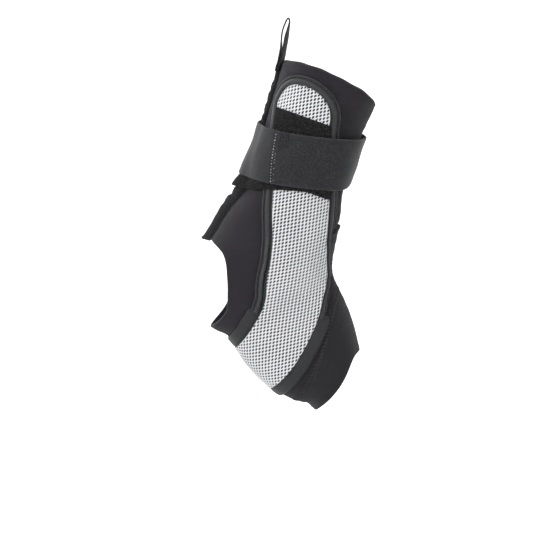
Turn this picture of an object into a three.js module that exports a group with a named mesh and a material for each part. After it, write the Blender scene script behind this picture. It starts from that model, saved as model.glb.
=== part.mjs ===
// An ankle support, as worn: a hollow sleeve with an open heel, a mesh stirrup, taped edges and a strap.
// Millimetres. +Z is up, +X points forward to the toes and -Y is the outer side of a right foot.
// The origin is the middle of the ankle that the support is worn on.
import * as THREE from 'three';

// Driving sizes of the worn form
const cuffRise = 180;
const soleDrop = 130;
const ankleDepth = 84;
const ankleWidth = 67;

// Walls and layers
const sleeveWall = 3;
const meshThickness = 2;
const bindingThickness = 2.3;
const tapeThickness = 2;
const pileThickness = 1.4;
const strapThickness = 1.5;
const layerGap = 0.8;
const clearance = 0.4;
const seamGap = 0.3;

// Widths and heights of the trims
const bindingWidth = 7.5;
const tapeWidth = 10;
const flangeHeight = 6.5;
const flangeThickness = 3;
const loopRise = 36;
const loopWidth = 10;
const loopThickness = 1.4;

// Colours
const sleeveColour = 0x323035;
const cuffColour = 0x2c2b30;
const bindingColour = 0x3c3d3f;
const tapeColour = 0x38393c;
const pileColour = 0x232424;
const meshColour = 0xdedfe2;
const strapColour = 0x3e3f42;

// A table with named columns
function table(columns, rows) {
  return rows.map((row) => Object.fromEntries(columns.map((name, k) => [name, row[k]])));
}

// Closed sections of the sleeve's outer face, from above the rim, down the leg, round the heel and along
// the foot. forward and depth are shares of ankleDepth and width is a share of ankleWidth. up is a share
// of cuffRise above the ankle and of soleDrop below it. tilt is in degrees. widest is where the widest
// line lies, from the front. back and front say how square the two halves are: 2 is an ellipse.
const sections = table(
  ['forward', 'up', 'tilt', 'depth', 'width', 'widest', 'back', 'front'],
  [
    [0.521, 0.953, -26.7, 1.083, 1.21, 0.5, 2.1, 2.1],
    [0.478, 0.888, -26.3, 1.05, 1.19, 0.5, 2.1, 2.1],
    [0.418, 0.823, -25.6, 1.04, 1.17, 0.5, 2.1, 2.1],
    [0.358, 0.746, -24.2, 1.007, 1.13, 0.5, 2.1, 2.1],
    [0.296, 0.659, -23, 0.991, 1.09, 0.5, 2.1, 2.1],
    [0.228, 0.558, -20, 0.981, 1.045, 0.5, 2.1, 2.1],
    [0.154, 0.45, -12.9, 0.975, 1.01, 0.51, 2.1, 2.1],
    [0.098, 0.353, -3, 1.0, 1, 0.52, 2.1, 2.1],
    [0.002, 0.257, -1, 1.158, 1.045, 0.55, 2.1, 2],
    [-0.108, 0.138, 3.6, 1.329, 1.1, 0.58, 2.1, 2],
    [-0.223, 0.059, 4.8, 1.508, 1.105, 0.62, 2.1, 2],
    [-0.299, -0.041, 9, 1.623, 1.09, 0.65, 2.1, 2],
    [-0.296, -0.144, 14.9, 1.64, 1.06, 0.65, 2.1, 2],
    [-0.218, -0.212, 20.4, 1.523, 1.03, 0.62, 2.1, 2],
    [-0.133, -0.256, 25.6, 1.399, 1.015, 0.57, 2.2, 2],
    [-0.031, -0.301, 32.4, 1.264, 1.025, 0.5, 2.4, 2],
    [0.062, -0.395, 45.2, 1.275, 1.045, 0.45, 2.5, 2],
    [0.167, -0.465, 56.4, 1.282, 1.075, 0.42, 2.6, 2],
    [0.27, -0.506, 65.1, 1.26, 1.105, 0.4, 2.6, 2],
    [0.364, -0.542, 72.5, 1.237, 1.135, 0.4, 2.6, 2],
    [0.424, -0.605, 69.1, 1.144, 1.155, 0.4, 2.6, 2],
    [0.482, -0.678, 64.3, 1.015, 1.18, 0.42, 2.6, 2],
    [0.55, -0.798, 53.2, 0.787, 1.21, 0.45, 2.6, 2.1],
  ],
);

// A smooth step from 0 to 1, and a value between two others
const ramp = (value, from, to) => THREE.MathUtils.smoothstep(value, from, to);
const mix = THREE.MathUtils.lerp;

// How far a place lies from the front, on either side
const sideOf = (a) => Math.abs(a - 2 * Math.round(a / 2));

// Places on the worn surface: u runs down the rows of sections, and a runs round the outer side from 0 at
// the front to 1 at the back, then on round the inner side to 2. The rim stands higher at its two sides,
// and the toe opening has a shallow wave.
const rim = { low: 1.32, sideRise: 0.52, riseEnd: 0.33, fallStart: 0.55 };
const toe = { middle: 21.88, wave: 0.12, crests: 4 };
const rimPlace = (a) => {
  const side = sideOf(a);
  return rim.low - rim.sideRise * ramp(side, 0, rim.riseEnd) * (1 - ramp(side, rim.fallStart, 1));
};
const toePlace = (a) => toe.middle + toe.wave * Math.cos(toe.crests * Math.PI * a);
const seamPlace = 19.4;
const heelHole = { middle: 11.45, half: 2.45, spread: 0.345 };

// The two long edges of the mesh stirrup, from the foot of its dome to the middle line of the sole
const stirrup = table(
  ['rearU', 'rearA', 'frontU', 'frontA'],
  [
    [3.6, 0.817, 3.6, 0.4],
    [5.2, 0.753, 5.3, 0.326],
    [7.1, 0.66, 7.2, 0.235],
    [9.1, 0.523, 9.2, 0.165],
    [10.6, 0.463, 11.1, 0.118],
    [12.3, 0.48, 13.2, 0.121],
    [13.7, 0.56, 15.4, 0.163],
    [14.35, 0.63, 16.8, 0.24],
    [14.75, 0.7, 17.5, 0.33],
    [15.02, 0.77, 17.72, 0.46],
    [15.18, 0.85, 17.72, 0.64],
    [15.27, 0.925, 17.6, 0.82],
    [15.3, 1, 17.5, 1],
  ],
);
const dome = { foot: 3.6, rise: 1.45, middle: 0.609, half: 0.208, firstStation: -0.933 };
const soleStation = stirrup.length - 1;
const rearTack = 6;
const frontTack = 8;
const tackGap = 0.1;

// The strap's two edges and the fuzzy band below it, at each place round the leg. The strap's upper edge
// falls to the back, its lower edge has a corner cut away at the front, and both lean to the outer side.
const strapEdge = { top: 3.45, fall: 1.25, topLean: 0.3, bottom: 6.5, bottomLean: 0.15 };
const frontCorner = { height: 0.7, width: 0.14 };
const band = { top: 5.9, bottom: 7.02, sideRise: 0.17, front: 0.25 };
const strapTop = (a) => {
  const fallen = (strapEdge.fall * (1 - Math.cos(Math.PI * a))) / 2;
  return strapEdge.top + fallen + strapEdge.topLean * Math.sin(Math.PI * a);
};
const strapBottom = (a) => {
  const cut = frontCorner.height * Math.exp(-((a / frontCorner.width) ** 2));
  return strapEdge.bottom - cut + strapEdge.bottomLean * Math.sin(Math.PI * a);
};
const bandBottom = (a) => band.bottom - band.sideRise * Math.sin(Math.PI * a) ** 2;

// How far the back seam stands out, down the leg
const flange = table(
  ['u', 'height'],
  [
    [1.9, 0.4],
    [2.4, 0.42],
    [3.2, 0.55],
    [4, 0.56],
    [4.8, 0.66],
    [5.6, 0.76],
    [6.4, 0.88],
    [7, 1.2],
    [7.5, 1.15],
    [8.2, 1.06],
    [8.95, 0.97],
  ],
);

// The pull loop's path from the back of the rim, in shares of loopRise
const loopPath = table(
  ['forward', 'up'],
  [
    [-0.085, -0.14],
    [-0.03, 0.05],
    [0, 0.27],
    [0.06, 0.6],
    [0.12, 0.92],
    [0.075, 1],
    [0.012, 0.88],
    [-0.058, 0.7],
    [-0.083, 0.49],
    [-0.105, 0.15],
    [-0.15, -0.14],
  ],
);

// A smooth value at a place between the rows of a table
function between(rows, name, place) {
  const last = rows.length - 1;
  const i = THREE.MathUtils.clamp(Math.floor(place), 0, last - 1);
  const t = THREE.MathUtils.clamp(place, 0, last) - i;
  const pick = (k) => rows[THREE.MathUtils.clamp(k, 0, last)][name];
  const [a, b, c, d] = [pick(i - 1), pick(i), pick(i + 1), pick(i + 2)];
  const bend = 2 * a - 5 * b + 4 * c - d;
  const twist = 3 * b - a - 3 * c + d;
  return 0.5 * (2 * b + (c - a) * t + bend * t ** 2 + twist * t ** 3);
}

// The place in a table where its first column has a value
function placeOf(rows, name, value) {
  const next = rows.findIndex((row) => row[name] >= value);
  if (next <= 0) {
    return next < 0 ? rows.length - 1 : 0;
  }
  const [low, high] = [rows[next - 1][name], rows[next][name]];
  return next - 1 + (value - low) / (high - low);
}

// One point of a section, by the angle round it
function sectionPoint(u, angle) {
  const at = (name) => between(sections, name, u);
  const [widest, up, tilt] = [at('widest'), at('up'), THREE.MathUtils.degToRad(at('tilt'))];
  const [c, s] = [Math.cos(angle), Math.sin(angle)];
  const power = 2 / (c > 0 ? at('front') : at('back'));
  const reach = (c > 0 ? 1 - widest : -widest) * Math.abs(c) ** power;
  const along = at('depth') * ankleDepth * (widest - 0.5 + reach);
  const across = (at('width') * ankleWidth * Math.abs(s) ** power) / 2;
  const height = up * (up > 0 ? cuffRise : soleDrop);
  return new THREE.Vector3(
    at('forward') * ankleDepth + Math.cos(tilt) * along,
    -across,
    height + Math.sin(tilt) * along,
  );
}

// Angles of a half section against the share of its length, worked out once for each u
const ringSteps = 72;
const rings = new Map();

function ringAt(u) {
  const key = u.toFixed(6);
  if (!rings.has(key)) {
    const points = Array.from({ length: ringSteps + 1 }, (_, k) => sectionPoint(u, (Math.PI * k) / ringSteps));
    const lengths = [0];
    for (let k = 1; k <= ringSteps; k++) {
      lengths.push(lengths[k - 1] + points[k].distanceTo(points[k - 1]));
    }
    rings.set(key, lengths);
  }
  return rings.get(key);
}

// A point of the sleeve's outer face
function skin(u, a) {
  const turn = a - 2 * Math.round(a / 2);
  const lengths = ringAt(u);
  const wanted = Math.abs(turn) * lengths[ringSteps];
  const next = Math.max(1, lengths.findIndex((length) => length >= wanted - 1e-9));
  const share = (wanted - lengths[next - 1]) / (lengths[next] - lengths[next - 1]);
  const point = sectionPoint(u, (Math.PI * (next - 1 + share)) / ringSteps);
  if (turn < 0) {
    point.y *= -1;
  }
  return point;
}

// The two directions along the face, and the one straight out of it
const probeU = 0.06;
const probeA = 0.02;

function frameAt(u, a) {
  const down = skin(u + probeU, a).sub(skin(u - probeU, a)).divideScalar(2 * probeU);
  const round = skin(u, a + probeA).sub(skin(u, a - probeA)).divideScalar(2 * probeA);
  const out = new THREE.Vector3().crossVectors(round, down).normalize();
  return { down, round, out };
}

function raised([u, a], offset) {
  return skin(u, a).addScaledVector(frameAt(u, a).out, offset);
}

// A spot moved over the face by a length, at right angles to an edge that runs from one spot to another
function besideEdge(before, spot, after, length) {
  const edge = skin(...after).sub(skin(...before));
  const side = new THREE.Vector3().crossVectors(frameAt(...spot).out, edge).normalize();
  const steps = 4;
  let [u, a] = spot;
  for (let k = 0; k < steps; k++) {
    const { down, round } = frameAt(u, a);
    const [dd, rr, dr] = [down.dot(down), round.dot(round), down.dot(round)];
    const [ds, rs] = [down.dot(side), round.dot(side)];
    const scale = length / steps / (dd * rr - dr * dr);
    u += (rr * ds - dr * rs) * scale;
    a += (dd * rs - dr * ds) * scale;
  }
  return [u, a];
}

// A sheet of spots joined by triangles. A closed row meets itself round the leg.
function gridSheet(rows, columns, place, closed = () => false) {
  const spots = [];
  const ids = [];
  for (let i = 0; i <= rows; i++) {
    ids.push([]);
    for (let j = 0; j <= columns; j++) {
      const same = j === columns && closed(i);
      ids[i].push(same ? ids[i][0] : spots.push(place(i, j)) - 1);
    }
  }
  const triangles = [];
  for (let i = 0; i < rows; i++) {
    for (let j = 0; j < columns; j++) {
      const [p, q, r, s] = [ids[i][j], ids[i][j + 1], ids[i + 1][j + 1], ids[i + 1][j]];
      triangles.push([p, q, r], [p, r, s]);
    }
  }
  return { spots, triangles };
}

// A closed body from points and triangles, turned so that its faces point out
function body(points, triangles) {
  let volume = 0;
  for (const [p, q, r] of triangles) {
    volume += points[p].dot(new THREE.Vector3().crossVectors(points[q], points[r]));
  }
  const faces = volume > 0 ? triangles : triangles.map(([p, q, r]) => [p, r, q]);
  const geometry = new THREE.BufferGeometry();
  geometry.setAttribute('position', new THREE.Float32BufferAttribute(points.flatMap((p) => p.toArray()), 3));
  geometry.setIndex(faces.flat());
  geometry.computeVertexNormals();
  return geometry;
}

// A wall between two offsets of a sheet, closed along every free edge
function wall(sheet, low, high) {
  const { spots, triangles } = sheet;
  const level = (value, spot) => (typeof value === 'function' ? value(...spot) : value);
  const outer = spots.map((spot) => raised(spot, level(high, spot)));
  const inner = spots.map((spot) => raised(spot, level(low, spot)));
  const count = spots.length;
  const faces = [...triangles, ...triangles.map(([p, q, r]) => [p + count, r + count, q + count])];
  const edges = new Set(triangles.flatMap(([p, q, r]) => [`${p},${q}`, `${q},${r}`, `${r},${p}`]));
  for (const edge of edges) {
    const [p, q] = edge.split(',').map(Number);
    if (!edges.has(`${q},${p}`)) {
      faces.push([q, p, p + count], [q, p + count, q + count]);
    }
  }
  return body([...outer, ...inner], faces);
}

// A bar through sections of four corners each, with flat ends
function bar(corners) {
  const points = corners.flat();
  const sides = 4;
  const faces = [];
  for (let i = 0; i < corners.length - 1; i++) {
    for (let k = 0; k < sides; k++) {
      const [p, q] = [i * sides + k, i * sides + ((k + 1) % sides)];
      faces.push([p, q, q + sides], [p, q + sides, p + sides]);
    }
  }
  const last = points.length - sides;
  faces.push([0, 2, 1], [0, 3, 2], [last, last + 1, last + 2], [last, last + 2, last + 3]);
  return body(points, faces);
}

const part = new THREE.Group();

function add(name, geometry, color, roughness) {
  const material = new THREE.MeshStandardMaterial({ color, roughness, metalness: 0 });
  const mesh = new THREE.Mesh(geometry, material);
  mesh.name = name;
  part.add(mesh);
}

// A copy on the inner side of the foot
function mirrored(geometry) {
  const copy = geometry.clone().scale(1, -1, 1);
  const index = Array.from(copy.index.array);
  for (let k = 0; k < index.length; k += 3) {
    [index[k], index[k + 1]] = [index[k + 1], index[k]];
  }
  copy.setIndex(index);
  return copy;
}

// A place moved along the leg by a length
function shifted(u, a, length) {
  return u + length / frameAt(u, a).down.length();
}

const ringColumns = 32;

// Sleeve: closed rows to the heel opening, open rows beside it, and closed rows on to the cross seam.
// Beside the opening, only the rear half of each row is drawn forward. The sleeve is cut in two across
// the opening: its leg part is above, and the foot wrap below.
const heldShare = 0.5;
const [legRows, heelRows, footRows] = [13, 9, 9];
const wrapRow = legRows + 5;
const seamRow = legRows + heelRows + footRows;

function sleevePlace(row, round) {
  const heelRow = row - legRows;
  const footRow = heelRow - heelRows;
  if (heelRow <= 0) {
    return [mix(rimPlace(round), heelHole.middle - heelHole.half, row / legRows), round];
  }
  if (footRow >= 0) {
    return [mix(heelHole.middle + heelHole.half, seamPlace, footRow / footRows), round];
  }
  const angle = (Math.PI * heelRow) / heelRows;
  const edge = 1 - heelHole.spread * Math.sin(angle);
  const size = Math.abs(round);
  const share = (size - heldShare) / (1 - heldShare);
  const moved = share <= 0 ? size : mix(heldShare, edge, share);
  return [heelHole.middle - heelHole.half * Math.cos(angle), Math.sign(round) * moved];
}

// The sleeve's rows from one to another, drawn in by half a seam gap where the next piece follows
function sleevePart(first, last) {
  const rows = last - first;
  const place = (i, j) => {
    const [u, a] = sleevePlace(first + i, (2 * j) / ringColumns - 1);
    if (i === rows) {
      return [shifted(u, a, -seamGap / 2), a];
    }
    return i === 0 && first > 0 ? [shifted(u, a, seamGap / 2), a] : [u, a];
  };
  const closed = (i) => first + i <= legRows || first + i >= legRows + heelRows;
  return wall(gridSheet(rows, ringColumns, place, closed), -sleeveWall, 0);
}

// Foot cuff: the band of the same cloth between the cross seam and the toe opening
function footCuff() {
  const rows = 5;
  const place = (i, j) => {
    const round = (2 * j) / ringColumns - 1;
    return [mix(shifted(seamPlace, round, seamGap / 2), toePlace(round), i / rows), round];
  };
  return wall(gridSheet(rows, ringColumns, place, () => true), -sleeveWall, 0);
}

// A spot on one long edge of the stirrup. Below zero the station climbs the dome, in quarter turns, and
// past the middle of the sole it goes up the inner side.
function edgeSpot(station, side) {
  if (station > soleStation) {
    const [u, a] = edgeSpot(2 * soleStation - station, side);
    return [u, 2 - a];
  }
  if (station < 0) {
    const angle = (-station * Math.PI) / 2;
    const sign = side === 'rear' ? 1 : -1;
    return [dome.foot - dome.rise * Math.sin(angle), dome.middle + sign * dome.half * Math.cos(angle)];
  }
  return [between(stirrup, `${side}U`, station), between(stirrup, `${side}A`, station)];
}

// Stations from one place to another on the edges of the stirrup, in steps that all its pieces share
const [legStep, soleStep] = [0.5, 0.4];

function stationsFrom(start, end) {
  const count = Math.round(start < rearTack ? (rearTack - start) / legStep : 0);
  const leg = Array.from({ length: count }, (_, k) => start + k * legStep);
  const from = Math.max(start, rearTack);
  const steps = Math.round(Math.max(0, end - from) / soleStep);
  return [...leg, ...Array.from({ length: steps + 1 }, (_, k) => from + k * soleStep)];
}

// Mesh panel: one strip from the outer dome, under the sole, to the inner dome
function meshPanel() {
  const [across, domeSteps] = [8, 5];
  const climb = Array.from({ length: domeSteps }, (_, k) => mix(dome.firstStation, 0, k / domeSteps));
  const half = [...climb, ...stationsFrom(0, soleStation)];
  const stations = [...half, ...half.slice(0, -1).map((station) => 2 * soleStation - station).reverse()];
  const place = (i, j) => {
    const [rear, front] = [edgeSpot(stations[i], 'rear'), edgeSpot(stations[i], 'front')];
    return [mix(front[0], rear[0], j / across), mix(front[1], rear[1], j / across)];
  };
  return wall(gridSheet(stations.length - 1, across, place), layerGap, layerGap + meshThickness);
}

// A strip that follows a path of spots on the face, from one distance beside it to another
function edging(path, near, far, thickness) {
  const [across, last] = [2, path.length - 1];
  const place = (i, j) => {
    const [before, after] = [path[Math.max(i - 1, 0)], path[Math.min(i + 1, last)]];
    return besideEdge(before, path[i], after, mix(near, far, j / across));
  };
  return wall(gridSheet(last, across, place), layerGap, layerGap + thickness);
}

// Panel binding: up the rear edge of the mesh, over its dome and down the front edge
function panelBinding() {
  const domeSteps = 5;
  const quarter = Array.from({ length: domeSteps }, (_, k) => -(k + 1) / domeSteps);
  const path = [
    ...stationsFrom(0, rearTack).reverse().map((station) => edgeSpot(station, 'rear')),
    ...quarter.map((station) => edgeSpot(station, 'rear')),
    ...quarter.slice(0, -1).reverse().map((station) => edgeSpot(station, 'front')),
    ...stationsFrom(0, frontTack).map((station) => edgeSpot(station, 'front')),
  ];
  return edging(path, clearance, bindingWidth, bindingThickness);
}

// Stirrup tapes: on from the end of the binding, under the sole and up to the same place on the other side
function stirrupTape(side, tack) {
  const half = stationsFrom(tack, soleStation);
  half[0] += tackGap;
  const stations = [...half, ...half.slice(0, -1).map((station) => 2 * soleStation - station).reverse()];
  const away = side === 'rear' ? -1 : 1;
  const path = stations.map((station) => edgeSpot(station, side));
  return edging(path, away * clearance, away * tapeWidth, tapeThickness);
}

// Loop patch: the fuzzy field on the mesh, between the bindings and down under the strap
function loopPatch() {
  const [rows, columns] = [4, 8];
  const [slant, end, margin] = [0.2, 1.15, 0.02];
  const place = (i, j) => {
    const share = mix(margin, 1 - margin, j / columns);
    const station = mix(slant * share, end, i / rows);
    const [rear, front] = [edgeSpot(station, 'rear'), edgeSpot(station, 'front')];
    return [mix(front[0], rear[0], share), mix(front[1], rear[1], share)];
  };
  const low = layerGap + meshThickness + clearance;
  return wall(gridSheet(rows, columns, place), low, low + pileThickness);
}

// How high the back seam stands at a place down the leg
function flangeAt(u) {
  return flangeHeight * between(flange, 'height', placeOf(flange, 'u', u));
}

// The underside of the base band: over the bindings, then close to the sleeve, then over the back seam
const bareFrom = { start: 0.8, end: 0.92 };
const tentSpread = 0.075;

function bandLow(u, a) {
  const side = sideOf(a);
  const [bare, over] = [layerGap + clearance, layerGap + bindingThickness + clearance];
  const beside = mix(over, bare, ramp(side, bareFrom.start, bareFrom.end));
  const tent = Math.exp(-(((1 - side) / tentSpread) ** 2));
  return beside + Math.max(0, layerGap + flangeAt(u) + 2 * clearance - beside) * tent;
}

// Base band: the fuzzy band from the front edge of the mesh, round the back, to the inner side
function baseBand() {
  const [rows, columns] = [3, 30];
  const place = (i, j) => {
    const a = mix(band.front, 2 - band.front, j / columns);
    return [mix(band.top, bandBottom(a), i / rows), a];
  };
  return wall(gridSheet(rows, columns, place), bandLow, (u, a) => bandLow(u, a) + pileThickness);
}

// The underside of the strap: clear of the fuzzy fields at the sides, of the band at the back, and a
// little off the sleeve at the front
const strapFront = { top: 3.2, bottom: 4, upperRow: 3.3, lowerRow: 6 };
const strapTurn = { start: 0.3, end: 0.8 };
const strapPanel = { start: 0.05, flat: 0.28, flatEnd: 0.82, end: 0.95 };
const bandStep = 0.7;

function strapLow(u, a) {
  const side = sideOf(a);
  const layer = pileThickness + clearance;
  const overPanel = layerGap + bindingThickness + clearance + layer;
  const front = mix(strapFront.top, strapFront.bottom, ramp(u, strapFront.upperRow, strapFront.lowerRow));
  const back = bandLow(u, a) + layer * ramp(u, band.top - bandStep, band.top);
  const ends = mix(front, back, ramp(side, strapTurn.start, strapTurn.end));
  const rise = ramp(side, strapPanel.start, strapPanel.flat);
  return mix(ends, overPanel, rise * (1 - ramp(side, strapPanel.flatEnd, strapPanel.end)));
}

// Strap: one ring round the leg over the fuzzy fields
function strap() {
  const [rows, columns] = [5, 40];
  const place = (i, j) => {
    const a = (2 * j) / columns - 1;
    return [mix(strapTop(a), strapBottom(a), i / rows), a];
  };
  const sheet = gridSheet(rows, columns, place, () => true);
  return wall(sheet, strapLow, (u, a) => strapLow(u, a) + strapThickness);
}

// Back seam: a fin on the middle line of the back
function backSeam() {
  const rows = 20;
  const [top, bottom] = [flange[0].u, flange[flange.length - 1].u];
  const corners = [];
  for (let i = 0; i <= rows; i++) {
    const u = mix(top, bottom, i / rows);
    const root = raised([u, 1], layerGap);
    const tip = raised([u, 1], layerGap + flangeAt(u));
    const half = new THREE.Vector3(0, flangeThickness / 2, 0);
    corners.push([root.clone().sub(half), root.clone().add(half), tip.clone().add(half), tip.clone().sub(half)]);
  }
  return bar(corners);
}

// Pull loop: a narrow webbing bent over above the rim, with its two ends at the back seam
function pullLoop() {
  const start = skin(rimPlace(1), 1);
  const knots = loopPath.map((row) => {
    return new THREE.Vector3(start.x + row.forward * loopRise, 0, start.z + row.up * loopRise);
  });
  const curve = new THREE.CatmullRomCurve3(knots);
  const steps = 24;
  const corners = [];
  for (let i = 0; i <= steps; i++) {
    const point = curve.getPoint(i / steps);
    const along = curve.getTangent(i / steps);
    const out = new THREE.Vector3(along.z, 0, -along.x).multiplyScalar(loopThickness / 2);
    const half = new THREE.Vector3(0, loopWidth / 2, 0);
    const [outer, inner] = [point.clone().add(out), point.clone().sub(out)];
    corners.push([inner.clone().sub(half), inner.clone().add(half), outer.clone().add(half), outer.clone().sub(half)]);
  }
  return bar(corners);
}

const binding = panelBinding();
const patch = loopPatch();

add('sleeve', sleevePart(0, wrapRow), sleeveColour, 0.85);
add('foot_wrap', sleevePart(wrapRow, seamRow), sleeveColour, 0.85);
add('foot_cuff', footCuff(), cuffColour, 0.85);
add('back_seam', backSeam(), bindingColour, 0.8);
add('pull_loop', pullLoop(), pileColour, 0.8);
add('mesh_panel', meshPanel(), meshColour, 0.7);
add('panel_binding_lateral', binding, bindingColour, 0.7);
add('panel_binding_medial', mirrored(binding), bindingColour, 0.7);
add('stirrup_tape_rear', stirrupTape('rear', rearTack), tapeColour, 0.7);
add('stirrup_tape_front', stirrupTape('front', frontTack), tapeColour, 0.7);
add('loop_patch_lateral', patch, pileColour, 0.95);
add('loop_patch_medial', mirrored(patch), pileColour, 0.95);
add('base_band', baseBand(), pileColour, 0.95);
add('strap', strap(), strapColour, 0.75);

export default part;
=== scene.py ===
"""The looks of an ankle support in its worn form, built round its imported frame.

Metres. +Z is up, +X points forward to the toes and -Y is the outer side of a right foot. A place on the
worn surface is (u, a): u runs down the rows of sections, and a runs round the leg, from 0 at the front over
the outer side to 1 at the back, and on round the inner side to 2.
"""

import math

import bpy
import numpy as np
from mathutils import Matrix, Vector


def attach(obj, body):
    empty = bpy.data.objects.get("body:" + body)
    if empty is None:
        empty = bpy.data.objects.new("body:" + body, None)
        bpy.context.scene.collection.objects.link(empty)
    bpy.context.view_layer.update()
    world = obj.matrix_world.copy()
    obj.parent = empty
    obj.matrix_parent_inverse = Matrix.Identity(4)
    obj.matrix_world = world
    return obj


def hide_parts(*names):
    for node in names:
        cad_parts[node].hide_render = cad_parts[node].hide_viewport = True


MM = 0.001

# Driving sizes and layers, as in the part
CUFF_RISE, SOLE_DROP, ANKLE_DEPTH, ANKLE_WIDTH = 0.180, 0.130, 0.084, 0.067
SLEEVE_WALL, LAYER_GAP, CLEARANCE = 3.0 * MM, 0.8 * MM, 0.4 * MM
BINDING_THICKNESS, PILE_THICKNESS, STRAP_THICKNESS = 2.3 * MM, 1.4 * MM, 1.5 * MM
FLANGE_HEIGHT, LOOP_RISE, LOOP_WIDTH = 6.5 * MM, 36 * MM, 10 * MM

# Closed sections of the sleeve's outer face: forward, up, tilt, depth, width, widest, back, front
SECTIONS = np.array([
    [0.521, 0.953, -26.7, 1.083, 1.21, 0.5, 2.1, 2.1],
    [0.478, 0.888, -26.3, 1.05, 1.19, 0.5, 2.1, 2.1],
    [0.418, 0.823, -25.6, 1.04, 1.17, 0.5, 2.1, 2.1],
    [0.358, 0.746, -24.2, 1.007, 1.13, 0.5, 2.1, 2.1],
    [0.296, 0.659, -23, 0.991, 1.09, 0.5, 2.1, 2.1],
    [0.228, 0.558, -20, 0.981, 1.045, 0.5, 2.1, 2.1],
    [0.154, 0.45, -12.9, 0.975, 1.01, 0.51, 2.1, 2.1],
    [0.098, 0.353, -3, 1.0, 1, 0.52, 2.1, 2.1],
    [0.002, 0.257, -1, 1.158, 1.045, 0.55, 2.1, 2],
    [-0.108, 0.138, 3.6, 1.329, 1.1, 0.58, 2.1, 2],
    [-0.223, 0.059, 4.8, 1.508, 1.105, 0.62, 2.1, 2],
    [-0.299, -0.041, 9, 1.623, 1.09, 0.65, 2.1, 2],
    [-0.296, -0.144, 14.9, 1.64, 1.06, 0.65, 2.1, 2],
    [-0.218, -0.212, 20.4, 1.523, 1.03, 0.62, 2.1, 2],
    [-0.133, -0.256, 25.6, 1.399, 1.015, 0.57, 2.2, 2],
    [-0.031, -0.301, 32.4, 1.264, 1.025, 0.5, 2.4, 2],
    [0.062, -0.395, 45.2, 1.275, 1.045, 0.45, 2.5, 2],
    [0.164, -0.468, 56.4, 1.294, 1.075, 0.42, 2.6, 2],
    [0.259, -0.521, 65.1, 1.31, 1.105, 0.4, 2.6, 2],
    [0.357, -0.556, 72.5, 1.285, 1.135, 0.4, 2.6, 2],
    [0.423, -0.607, 69.1, 1.15, 1.155, 0.4, 2.6, 2],
    [0.482, -0.678, 64.3, 1.015, 1.18, 0.42, 2.6, 2],
    [0.55, -0.798, 53.2, 0.787, 1.21, 0.45, 2.6, 2.1],
])

# The two long edges of the mesh stirrup: rear u and a, front u and a, down to the middle of the sole
STIRRUP = np.array([
    [3.6, 0.827, 3.6, 0.41],
    [5.2, 0.759, 5.3, 0.332],
    [7.1, 0.663, 7.2, 0.238],
    [9.1, 0.523, 9.2, 0.18],
    [10.6, 0.463, 11.1, 0.125],
    [12.3, 0.48, 13.2, 0.121],
    [13.7, 0.56, 15.4, 0.163],
    [14.35, 0.63, 16.8, 0.24],
    [14.75, 0.7, 17.5, 0.33],
    [15.02, 0.77, 17.72, 0.46],
    [15.18, 0.85, 17.65, 0.64],
    [15.27, 0.925, 17.38, 0.82],
    [15.3, 1, 17.25, 1],
])
SOLE_STATION = len(STIRRUP) - 1
REAR_TACK, FRONT_TACK = 6.6, 8.0
DOME_FOOT, DOME_RISE, DOME_MIDDLE, DOME_HALF = 3.6, 1.47, 0.6185, 0.2085

# The back seam's height down the leg, and the pull loop's path in shares of its rise
FLANGE = np.array([
    [1.9, 0.4], [2.4, 0.42], [3.2, 0.55], [4, 0.56], [4.8, 0.66], [5.6, 0.76],
    [6.4, 0.88], [7, 1.2], [7.5, 1.15], [8.2, 1.06], [8.95, 0.97],
])
LOOP_PATH = np.array([
    [-0.139, -0.25], [-0.089, -0.1], [-0.036, 0.067], [0, 0.27], [0.061, 0.6], [0.124, 0.92], [0.086, 1.005],
    [0.017, 0.889], [-0.047, 0.7], [-0.072, 0.489], [-0.08, 0.247], [-0.112, 0.008], [-0.155, -0.125],
    [-0.18, -0.25],
])

SEAM_PLACE, SEAM_PARTING = 19.4, 0.015
ZIGZAG = np.array([[0.51, 19.2], [0.577, 19.07], [0.65, 18.9], [0.746, 18.72], [0.85, 18.6]])
HOLE_MIDDLE, HOLE_HALF, HOLE_SPREAD = 11.45, 2.45, 0.345
BAND_TOP, BAND_FRONT = 5.9, 0.25
HALF_GIRTH = 0.125
SIDES = ("lateral", "medial")


# Small helpers

def mix(low, high, share):
    """The value a share of the way from one to the other."""
    return low + (high - low) * share


def ramp(value, start, end):
    """A smooth step from 0 to 1."""
    t = np.clip((np.asarray(value, float) - start) / (end - start), 0, 1)
    return t * t * (3 - 2 * t)


def bump(value, middle, width):
    """A smooth hill, 1 at its middle."""
    return np.exp(-(((np.asarray(value, float) - middle) / width) ** 2))


def dot(p, q):
    return (p * q).sum(axis=-1)


def unit(v):
    return v / np.maximum(np.linalg.norm(v, axis=-1, keepdims=True), 1e-12)


def gone(points):
    """How far along a line of points each one lies."""
    return np.concatenate([[0.0], np.cumsum(np.linalg.norm(np.diff(points, axis=0), axis=1))])


def between(rows, place):
    """Smooth values at places between the rows of a table."""
    last = len(rows) - 1
    place = np.clip(np.asarray(place, float), 0, last)
    i = np.clip(np.floor(place).astype(int), 0, last - 1)
    t = (place - i)[..., None]
    a, b, c, d = (rows[np.clip(i + k, 0, last)] for k in (-1, 0, 1, 2))
    return 0.5 * (2 * b + (c - a) * t + (2 * a - 5 * b + 4 * c - d) * t**2 + (3 * b - a - 3 * c + d) * t**3)


def signed(a):
    """A place round the leg counted from the front, outer side above zero and inner side below."""
    a = np.asarray(a, float)
    return a - 2 * np.round(a / 2)


def side_of(a):
    """How far a place lies from the front, on either side."""
    return np.abs(signed(a))


def read_off(wanted, length, values):
    """Each column of some values along a line, read off at the wanted lengths."""
    return np.stack([np.interp(wanted, length, column) for column in values.T], axis=1)


# The worn surface

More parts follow.
